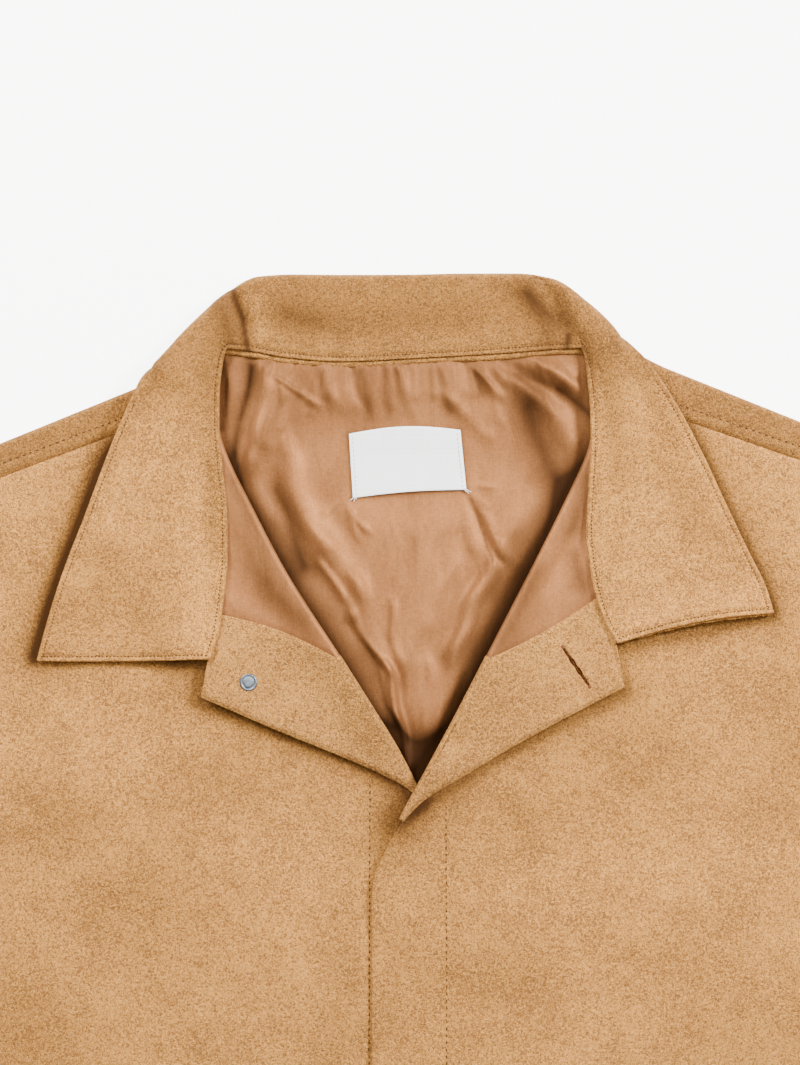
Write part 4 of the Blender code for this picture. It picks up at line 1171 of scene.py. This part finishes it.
def stitch_run(line, top, stitch):
    """Strands laid end to end along a line, on the cloth below it."""
    chance = random.Random(1)
    line = np.array(line, float)[:, :2]
    count = max(1, int(reaches(line)[-1] / stitch.pitch))
    ends = evenly(line, 0, 1, count + 1)
    strands = []
    for a, b in zip(ends, ends[1:]):
        gap = (b - a) * (1 - stitch.share) / 2
        start = a + gap + chance.uniform(-SWAY, SWAY)
        end = b - gap + chance.uniform(-SWAY, SWAY)
        z = [top(*start), top(*end)]
        if None in z or abs(z[0] - z[1]) > STEEPEST:
            continue
        strands.append(((*start, z[0] + stitch.lift), (*end, z[1] + stitch.lift)))
    return strands


def build_buttonhole(thread_dark, hole):
    """Close stitches over both lips of the slit, a bar at each end, and a dark sheet over the slit as its
    painted shadow.
    """
    top = tops([bpy.data.objects["facing_cloth_left"]])
    (x0, y0), (x1, y1) = BUTTONHOLE
    run = unit((x1 - x0, y1 - y0))
    length = math.dist(*BUTTONHOLE)

    def spot(along, away, lift):
        x = x0 + run[0] * along - run[1] * away
        y = y0 + run[1] * along + run[0] * away
        return x, y, top(x, y) + lift

    chance = random.Random(5)
    strands = []
    count = int(length / BUTTONHOLE_PITCH)
    for step in range(count + 1):
        along = length * step / count
        for hand in (-1, 1):
            far = 0.72 + chance.uniform(-0.12, 0.16)
            strands.append((spot(along, -0.1 * hand, 0.02), spot(along, far * hand, 0.02)))
    for end, sense in ((0.0, -1), (length, 1)):
        for step in range(5):
            along = end + sense * (0.1 + 0.28 * step)
            strands.append((spot(along, -0.85, 0.06), spot(along, 0.85, 0.06)))
    slit = []
    for share in np.linspace(0, 1, 40):
        half_width = 0.85 * math.sin(math.pi * share) ** 0.4 * (1 + 0.2 * math.sin(share * 23))
        slit.append([spot(length * share, half_width * across, 0.2) for across in (-1, -0.5, 0, 0.5, 1)])
    # The slit's thin dark sheet is a painted shadow.
    shell("buttonhole_slit", [np.array(slit)], 0.3, hole)
    thread("buttonhole_thread", strands, 0.27, thread_dark)


def build_rivet(steel):
    """A turned rivet: a flat centre in a bright raised rim."""
    top = tops([bpy.data.objects["facing_cloth_right"]])
    x0, y0 = RIVET_AT
    base = top(x0, y0) - RIVET_SEAT
    steps = 96
    points = []
    for radius, z in RIVET_PROFILE:
        for step in range(steps):
            angle = 2 * math.pi * step / steps
            points.append((x0 + radius * math.cos(angle), y0 + radius * math.sin(angle), base + z))
    faces = ring_faces(len(RIVET_PROFILE), steps)
    made = piece("rivet_turned", points, faces, steel)
    work = bmesh.new()
    work.from_mesh(made.data)
    bmesh.ops.remove_doubles(work, verts=work.verts[:], dist=1e-6)
    bmesh.ops.recalc_face_normals(work, faces=work.faces[:])
    work.to_mesh(made.data)
    work.free()
    made.data.set_sharp_from_angle(angle=math.radians(40))
    return made


# ---- Materials ----

class Paint:
    """A node material in the making."""

    def __init__(self, name):
        self.material = bpy.data.materials.new(name)
        self.material.use_nodes = True
        self.nodes = self.material.node_tree.nodes
        self.links = self.material.node_tree.links
        self.shader = self.nodes["Principled BSDF"]
        self.place = self.nodes.new("ShaderNodeTexCoord").outputs["Object"]

    def put(self, socket, value):
        """Link a socket to another node's output, or set its own value."""
        if isinstance(value, bpy.types.NodeSocket):
            self.links.new(value, socket)
        else:
            socket.default_value = value

    def set(self, **values):
        for name, value in values.items():
            self.put(self.shader.inputs[name.replace("_", " ")], value)

    def node(self, kind, **values):
        made = self.nodes.new("ShaderNode" + kind)
        for name, value in values.items():
            self.put(made.inputs[name.replace("_", " ")], value)
        return made

    def stretched(self, scale, turn=0.0):
        return self.node("Mapping", Scale=scale, Rotation=(0, 0, turn), Vector=self.place).outputs["Vector"]

    def noise(self, scale, detail=2.0, roughness=0.5, distortion=0.0, at=None):
        made = self.node("TexNoise", Scale=scale, Detail=detail, Roughness=roughness,
                         Distortion=distortion, Vector=at or self.place)
        return made.outputs["Fac"]

    def wave(self, scale, direction, distortion):
        made = self.node("TexWave", Scale=scale, Distortion=distortion, Vector=self.place)
        made.bands_direction = direction
        return made.outputs["Fac"]

    def math(self, operation, a, b):
        made = self.node("Math")
        made.operation = operation
        self.put(made.inputs[0], a)
        self.put(made.inputs[1], b)
        return made.outputs[0]

    def blend(self, parts):
        """A weighted sum of noises."""
        total = None
        for share, value in parts:
            term = self.math("MULTIPLY", value, share)
            total = term if total is None else self.math("ADD", total, term)
        return total

    def ramp(self, value, places, tones):
        made = self.node("ValToRGB", Fac=value)
        elements = made.color_ramp.elements
        while len(elements) < len(places):
            elements.new(0.5)
        for element, place, tone in zip(elements, places, tones):
            element.position = place
            element.color = (*tone, 1.0)
        return made.outputs["Color"]

    def shaded(self, colour, shade):
        """The cloth's colour, going over to a painted shade colour where its points are marked with painted
        shade.
        """
        mark = self.node("Attribute")
        mark.attribute_name = "shade"
        made = self.node("Mix")
        made.data_type = "RGBA"
        for number, value in ((0, mark.outputs["Fac"]), (6, colour), (7, (*shade, 1.0))):
            self.put(made.inputs[number], value)
        return made.outputs[2]

    def between(self, value, low, high):
        return self.node("MapRange", To_Min=low, To_Max=high, Value=value).outputs["Result"]

    def bump(self, layers):
        """The normal over layers of height, each with its depth in millimetres and its strength."""
        normal = None
        for value, depth, strength in layers:
            made = self.node("Bump", Distance=depth * MM, Strength=strength, Height=value)
            if normal:
                self.put(made.inputs["Normal"], normal)
            normal = made.outputs["Normal"]
        return normal


# Colours that the painted shade goes over to, on the suede and on the satin.
SUEDE_SHADE = (0.052, 0.020, 0.005)
SATIN_SHADE = (0.024, 0.009, 0.003)
NAP_TONES = [(0.200, 0.088, 0.026), (0.40, 0.172, 0.037), (0.62, 0.286, 0.066)]
FACING_TONES = [(0.175, 0.077, 0.023), (0.345, 0.150, 0.034), (0.53, 0.250, 0.062)]
SATIN_TONES = [(0.21, 0.082, 0.028), (0.30, 0.122, 0.042), (0.40, 0.170, 0.060)]
LABEL_TONES = [(0.84, 0.84, 0.83), (0.93, 0.93, 0.92), (0.97, 0.97, 0.96)]
STEEL_TONES = [(0.10, 0.115, 0.13), (0.21, 0.235, 0.26)]
PAPER_TONES = [(0.90, 0.895, 0.885), (0.92, 0.915, 0.905)]


def suede_material(name, tones, sheen):
    """Brushed nap: clouds where the pile lies over, on a fine curled grain."""
    paint = Paint(name)
    clouds = paint.noise(18.0, 3.0, 0.5, 0.6)
    brushed = paint.noise(75.0, 3.0, 0.6, 0.5)
    flecks = paint.noise(1080.0, 1.0, 0.5, 1.4)
    grain = paint.noise(1900.0, 1.0, 0.6)
    tone = paint.blend([(0.11, clouds), (0.11, brushed), (0.60, flecks), (0.18, grain)])
    nap = paint.ramp(tone, (0.43, 0.50, 0.565), tones)
    # The base colour goes over to the painted shade where the cloth's points are marked.
    paint.set(Base_Color=paint.shaded(nap, SUEDE_SHADE), Roughness=paint.between(flecks, 0.88, 1.0),
              Normal=paint.bump([(brushed, 1.6, 0.4), (flecks, 0.8, 0.95), (grain, 0.15, 0.6)]),
              Sheen_Weight=sheen, Sheen_Roughness=0.5, Sheen_Tint=(1.0, 0.70, 0.40, 1.0),
              Specular_IOR_Level=0.08)
    return paint.material


def satin_material():
    """Thin satin: a fine weave, small wrinkles along its length, and a soft gloss."""
    paint = Paint("satin_cloth")
    soft = paint.noise(26.0, 3.0, 0.5, 0.6)
    wrinkles = paint.noise(1.0, 4.0, 0.55, 0.8, paint.stretched((150.0, 34.0, 60.0), 0.12))
    weave = paint.noise(1.0, 1.0, 0.5, 0.0, paint.stretched((1700.0, 450.0, 900.0)))
    cross = paint.noise(1.0, 1.0, 0.5, 0.0, paint.stretched((420.0, 1800.0, 900.0)))
    tone = paint.blend([(0.36, soft), (0.18, wrinkles), (0.23, weave), (0.23, cross)])
    cloth = paint.ramp(tone, (0.34, 0.5, 0.66), SATIN_TONES)
    # The base colour goes over to the painted shade where the cloth's points are marked.
    paint.set(Base_Color=paint.shaded(cloth, SATIN_SHADE), Roughness=paint.between(soft, 0.50, 0.62),
              Normal=paint.bump([(wrinkles, 1.3, 0.4), (weave, 0.05, 0.5), (cross, 0.05, 0.5)]),
              Metallic=0.36, Specular_IOR_Level=0.07, Specular_Tint=(1.0, 0.74, 0.52, 1.0))
    return paint.material


def label_material():
    """White woven tape with a fine rib both ways."""
    paint = Paint("label_weave")
    warp = paint.wave(1150.0 / 3.0, "X", 0.4)
    weft = paint.wave(1500.0 / 3.0, "Y", 0.4)
    soft = paint.noise(90.0, 3.0, 0.5)
    tone = paint.blend([(0.3, warp), (0.3, weft), (0.4, soft)])
    paint.set(Base_Color=paint.ramp(tone, (0.2, 0.55, 0.8), LABEL_TONES),
              Roughness=paint.between(soft, 0.6, 0.75),
              Normal=paint.bump([(warp, 0.09, 0.6), (weft, 0.09, 0.6), (soft, 0.5, 0.3)]),
              Sheen_Weight=0.15, Sheen_Roughness=0.4)
    return paint.material


def thread_material(name, dark, light, gloss=0.5, sheen=0.2):
    paint = Paint(name)
    twist = paint.noise(1900.0, 2.0, 0.5, 1.0)
    paint.set(Base_Color=paint.ramp(twist, (0.35, 0.65), (dark, light)),
              Roughness=paint.between(twist, 0.5, 0.75), Normal=paint.bump([(twist, 0.08, 0.7)]),
              Sheen_Weight=sheen, Sheen_Roughness=0.4, Specular_IOR_Level=gloss)
    return paint.material


def steel_material():
    paint = Paint("steel_worn")
    brushed = paint.noise(1.0, 3.0, 0.6, 0.0, paint.stretched((300.0, 2600.0, 900.0), 0.6))
    worn = paint.noise(420.0, 3.0, 0.6)
    tone = paint.blend([(0.5, brushed), (0.5, worn)])
    paint.set(Base_Color=paint.ramp(tone, (0.35, 0.65), STEEL_TONES),
              Roughness=paint.between(worn, 0.38, 0.55),
              Normal=paint.bump([(brushed, 0.03, 0.5), (worn, 0.05, 0.4)]), Metallic=1.0)
    return paint.material


# ---- Stage ----

# The stage is in metres: the floor, the lamps with their places, sizes and watts, and the view.
FLOOR_SIDE = 60.0
FLOOR_DROP = 0.0004
LAMPS = {
    "right": ((1.15, 0.85, 0.90), 0.5, 71.0), "left": ((-0.85, 1.15, 0.95), 0.5, 54.0),
    "over": ((0.0, 0.5, 1.6), 0.8, 22.0), "low": ((0.1, -1.3, 1.2), 1.2, 5.0),
}
LAMP_AIM = Vector((0.0, (NECK_Y - 90.0) * MM, 0.0))
VIEW_HEIGHT = 0.522
VIEW_CENTRE = (-0.0025, (NECK_Y - 85.5) * MM, 0.008)


def build_stage():
    """A plain pale floor, soft lights round it, and a long lens straight above the neck."""
    mesh = bpy.data.meshes.new("floor")
    corners = [(-1, -1), (1, -1), (1, 1), (-1, 1)]
    mesh.from_pydata([(x * FLOOR_SIDE / 2, y * FLOOR_SIDE / 2, -FLOOR_DROP) for x, y in corners], [],
                     [(0, 1, 2, 3)])
    floor = added("floor", mesh)
    paint = Paint("floor_paper")
    tone = paint.noise(6.0, 2.0, 0.5)
    paint.set(Base_Color=paint.ramp(tone, (0.3, 0.7), PAPER_TONES),
              Roughness=0.95, Specular_IOR_Level=0.1, Emission_Color=(1.0, 0.985, 0.955, 1.0),
              Emission_Strength=5.0)
    mesh.materials.append(paint.material)

    world = bpy.data.worlds.new("studio")
    world.use_nodes = True
    sky = world.node_tree.nodes["Background"]
    sky.inputs["Color"].default_value = (1.0, 0.995, 0.985, 1.0)
    sky.inputs["Strength"].default_value = 0.14
    bpy.context.scene.world = world
    for name, (place, size, power) in LAMPS.items():
        data = bpy.data.lights.new(name, "AREA")
        data.shape = "DISK"
        data.size = size
        data.energy = power
        lamp = added(name, data)
        lamp.location = place
        lamp.rotation_euler = (LAMP_AIM - Vector(place)).to_track_quat("-Z", "Y").to_euler()

    data = bpy.data.cameras.new("camera")
    data.sensor_fit = "VERTICAL"
    data.sensor_height = 36.0
    data.lens = 120.0
    camera = added("camera", data)
    x, y, z = VIEW_CENTRE
    camera.location = (x, y, z + VIEW_HEIGHT * data.lens / data.sensor_height)
    bpy.context.scene.camera = camera


# ---- Painted shade ----

# The free long edges of the collar's leaves, beside which painted shadows lie on the fronts. The right one
# stops a millimetre short of its tip.
RIGHT_LEAF = [(-129, -10), (-138.7, -32.3), (-147.5, -54.5), (-156, -77.4), (-165.5, -102), (-173.5, -126),
              (-179.8, -147)]
LEFT_LEAF = [(row.reach_x, row.reach_y) for row in COLLAR_STATIONS[-7:]]

# Lines of painted shade, or of painted highlight below zero, with depths and widths.
COLLAR_SHADE_LINES = [
    ([(-85.5, 35), (-80, 20), (-77, 4)], 0.72, 1.5), ([(80, 11), (79, 3)], 0.40, 1.3),
    ([(-91, 30), (-85, 8)], 0.30, 6.0), ([(-74, 30), (-70, 14)], -0.20, 4.0),
    ([(60, 32), (70, 22), (82, 11)], 0.26, 4.5), ([(-96, -8), (-93, -90)], 0.26, 7.0),
    ([(-118, 4), (-142, -50)], 0.18, 6.0), ([(-150, -96), (-122, -140)], 0.18, 12.0),
    ([(98, -12), (106, -62)], 0.22, 8.0), ([(-30, 20), (34, 24)], 0.12, 9.0),
    ([(124, -40), (138, -80)], 0.10, 9.0), ([(-58, 22), (-46, 19)], 0.32, 9.0),
    ([(58, 33), (66, 20), (71, 6)], 0.26, 8.0), ([(-107, -60), (-101, -144)], -0.32, 6.0),
    ([(-128, -36), (-140, -80)], -0.22, 8.0), ([(150, -106), (172, -122)], -0.20, 14.0),
    ([(112, -70), (118, -124)], -0.16, 9.0),
]
# Painted shadows on the fronts beside and under the collar's leaves, at the notch and at the break.
FRONT_SHADOW_LINES = [
    (RIGHT_LEAF, 0.34, 13.0), (LEFT_LEAF, 0.28, 11.0), ([(-168, -149), (-98, -149)], 0.40, 2.4),
    ([(-114, -152), (-99, -156)], 0.50, 8.0), ([(104, -142), (150, -134), (176, -126)], 0.50, 4.0),
    ([(-10, -222), (-18, -240)], 0.30, 9.0),
]
# Broad patches on the fronts, darker above zero and lighter below it.
FRONT_PATCHES = named(Patch, [
    (-150, -190, 42, 20, -0.10), (-96, -208, 34, 15, 0.12), (-178, -228, 34, 22, 0.10),
    (-60, -250, 30, 18, -0.10), (-118, -270, 44, 20, 0.09), (-210, -130, 20, 44, -0.10),
    (60, -226, 36, 13, 0.10), (112, -196, 36, 15, 0.10), (150, -246, 44, 18, -0.10),
    (84, -262, 40, 16, -0.08), (40, -300, 40, 22, 0.10), (196, -190, 22, 40, 0.10),
    (-30, -320, 26, 40, 0.08), (-190, -330, 40, 30, 0.10), (180, -340, 50, 26, 0.08),
    (214, -100, 20, 30, -0.08), (-70, -420, 60, 40, 0.08), (90, -480, 60, 46, 0.08),
])
# The back carries an even painted shade, for its shoulders that turn away from the light. The neck strip and
# the plain pieces are darkened evenly by the other two tones.
SHOULDER_PAINTED_SHADE = 0.50
STRIP_TONE = 0.36
PLAIN_TONE = 0.12


def even(tone):
    """The same tone all over."""
    return lambda x, y: np.full(np.shape(x), tone)


def toned(x, y, base, table):
    """A base tone with the depths of a table's lines, each fading within its own width."""
    for line, depth, width in table:
        base = base + depth * near(x, y, line, width)
    return base


def collar_painted_shade(x, y):
    """Painted shade on the collar: darker at the back of the neck and in its corner folds, with painted
    highlights on its light bands.
    """
    return toned(x, y, 0.12 + 0.38 * smooth(-36, 8, y), COLLAR_SHADE_LINES)


def front_painted_shade(x, y):
    """Painted shadows on the fronts beside the collar's leaves and under the lapels, with broad darker and
    lighter patches.
    """
    dark = toned(x, y, 0.10, FRONT_SHADOW_LINES)
    dark = dark + (0.25 + 0.60 * smooth(-20, -64, y)) * near(x + 2.4, y, RIGHT_LEAF, 4.0)
    dark = dark + 0.44 * near(x - 1.6, y, LEFT_LEAF, 3.6)
    for half in (RIGHT, LEFT):
        edge = mirrored(half, [(a, b - 2.0) for a, b in half.front_edge])
        dark = toned(x, y, dark, [(edge, half.edge_shade, 4.5), (edge, 0.22, 14.0)])
    for patch in FRONT_PATCHES:
        reach = ((x - patch.x) / patch.wide) ** 2 + ((y - patch.y) / patch.high) ** 2
        dark = dark + 1.6 * patch.depth * np.exp(-reach)
    return dark


# ---- The jacket ----

# Each thread's dark and light colours, with its gloss and sheen where they aren't the plain ones. The slit's
# colours are the buttonhole's painted shadow.
THREADS = {
    "thread_tan": [(0.14, 0.055, 0.015), (0.30, 0.13, 0.04)],
    "thread_brown": [(0.030, 0.010, 0.003), (0.08, 0.030, 0.010), 0.1, 0.0],
    "thread_white": [(0.62, 0.61, 0.59), (0.85, 0.84, 0.82)],
    "thread_grey": [(0.22, 0.22, 0.22), (0.42, 0.42, 0.41)],
    "thread_dark": [(0.080, 0.028, 0.010), (0.20, 0.08, 0.028), 0.1, 0.0],
    "slit_painted_shadow": [(0.012, 0.003, 0.001), (0.040, 0.012, 0.004), 0.0, 0.0],
}


def stitch_body(fronts, back, cuffs, threads):
    """The rows on the fronts' edges, along the shoulders, above the hem and on the cuffs."""
    tan, dark = [], []
    for half in (RIGHT, LEFT):
        front_top = tops([fronts[half.name]])
        dark += stitch_run(mirrored(half, half.placket), front_top, FRONT_STITCH)
        dark += stitch_run(lead_line(half, SHOULDER_X - 1), tops([back]), FRONT_STITCH)
        hem = mirrored(half, [(x, HEM_Y + HEM_ROW) for x in (-14, 262)])
        tan += stitch_run(hem, front_top, HEM_STITCH)
        sleeve, cuff_row = cuffs[half.name]
        tan += stitch_run(cuff_row, tops([sleeve]), HEM_STITCH)
    thread("body_stitches", tan, HEM_STITCH.radius, threads["thread_tan"])
    thread("front_stitches", dark, FRONT_STITCH.radius, threads["thread_brown"])


def stitch_label(label, threads):
    """The rows down the label's two sides, and the loose ends at its lower corners."""
    label_top = tops([label])
    top_right, top_left, bottom_left, bottom_right = LABEL_CORNERS
    strands = []
    for a, b, inward in ((top_right, bottom_right, 1.6), (top_left, bottom_left, -1.6)):
        side = [(a[0] + inward, a[1] - 1.0), (b[0] + inward, b[1] + 0.8)]
        strands += stitch_run(side, label_top, LABEL_STITCH)
    thread("label_stitches", strands, LABEL_STITCH.radius, threads["thread_grey"])
    strands = []
    for corner, runs in ((bottom_left, ((2.6, -1.4), (1.6, -2.2), (0.2, -1.6))),
                         (bottom_right, ((-1.8, -1.6), (0.3, -2.4), (1.8, -1.2)))):
        start = (corner[0] + math.copysign(1.2, -corner[0]), corner[1] + 0.8)
        for run in runs:
            end = (corner[0] + run[0], corner[1] + run[1])
            strands.append(((*start, label_top(*start) + 0.2), (*end, float(lining_height(*end)) + 0.5)))
    thread("label_thread_ends", strands, 0.2, threads["thread_white"])


def main():
    suede = suede_material("suede_nap", NAP_TONES, 0.06)
    facing = suede_material("suede_facing", FACING_TONES, 0.05)
    satin = satin_material()
    woven = label_material()
    steel = steel_material()
    threads = {name: thread_material(name, *look) for name, look in THREADS.items()}
    brown = threads["thread_brown"]

    def lay(made, solid):
        if solid:
            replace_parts(made, solid)
        return made

    # Each cloth is marked with its painted shade, or with an even darkening.
    back = with_painted_shade(build_back(suede), even(SHOULDER_PAINTED_SHADE))
    lay(back, "back")
    fronts, cuffs = {}, {}
    for half in (RIGHT, LEFT):
        front = with_painted_shade(build_front(half, suede), front_painted_shade)
        fronts[half.name] = lay(front, "front_" + half.name)
        cover = with_painted_shade(build_facing(half, facing), even(PLAIN_TONE))
        lay(cover, "facing_" + half.name)
        cover = with_painted_shade(build_lapel_lining(half, satin), lapel_painted_shade(half))
        lay(cover, "lining_" + half.name)
        sleeve, cuff_row = build_sleeve(half, suede)
        with_painted_shade(sleeve, even(PLAIN_TONE))
        cuffs[half.name] = (sleeve, cuff_row)
        lay(sleeve, "sleeve_" + half.name)
    collar, seams, under_edge = build_collar(suede)
    lay(with_painted_shade(collar, collar_painted_shade), "collar")
    lay(under_edge, None)
    lining = lay(build_lining(satin), "lining_back")
    binding = with_painted_shade(build_binding(suede), even(STRIP_TONE))
    lay(binding, "neck_binding")
    label = lay(build_label(woven), "label")

    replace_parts(build_rivet(steel), "rivet")
    button = bpy.data.objects["button_head"].data
    button.materials.clear()
    button.materials.append(steel)
    build_buttonhole(threads["thread_dark"], threads["slit_painted_shadow"])

    collar_top = tops([collar])
    strands = []
    for row in seams:
        strands += stitch_run(row, collar_top, COLLAR_STITCH)
    thread("collar_stitches", strands, COLLAR_STITCH.radius, brown)
    stitch_body(fronts, back, cuffs, threads)
    seam = curve(NECK_SEAM)
    row = [(x, table_value(seam, x) - 0.35) for x in np.linspace(-82, 80, 60)]
    strands = stitch_run(row, tops([binding, collar]), NECK_STITCH)
    thread("binding_stitches", strands, NECK_STITCH.radius, brown)
    stitch_label(label, threads)


main()
build_stage()
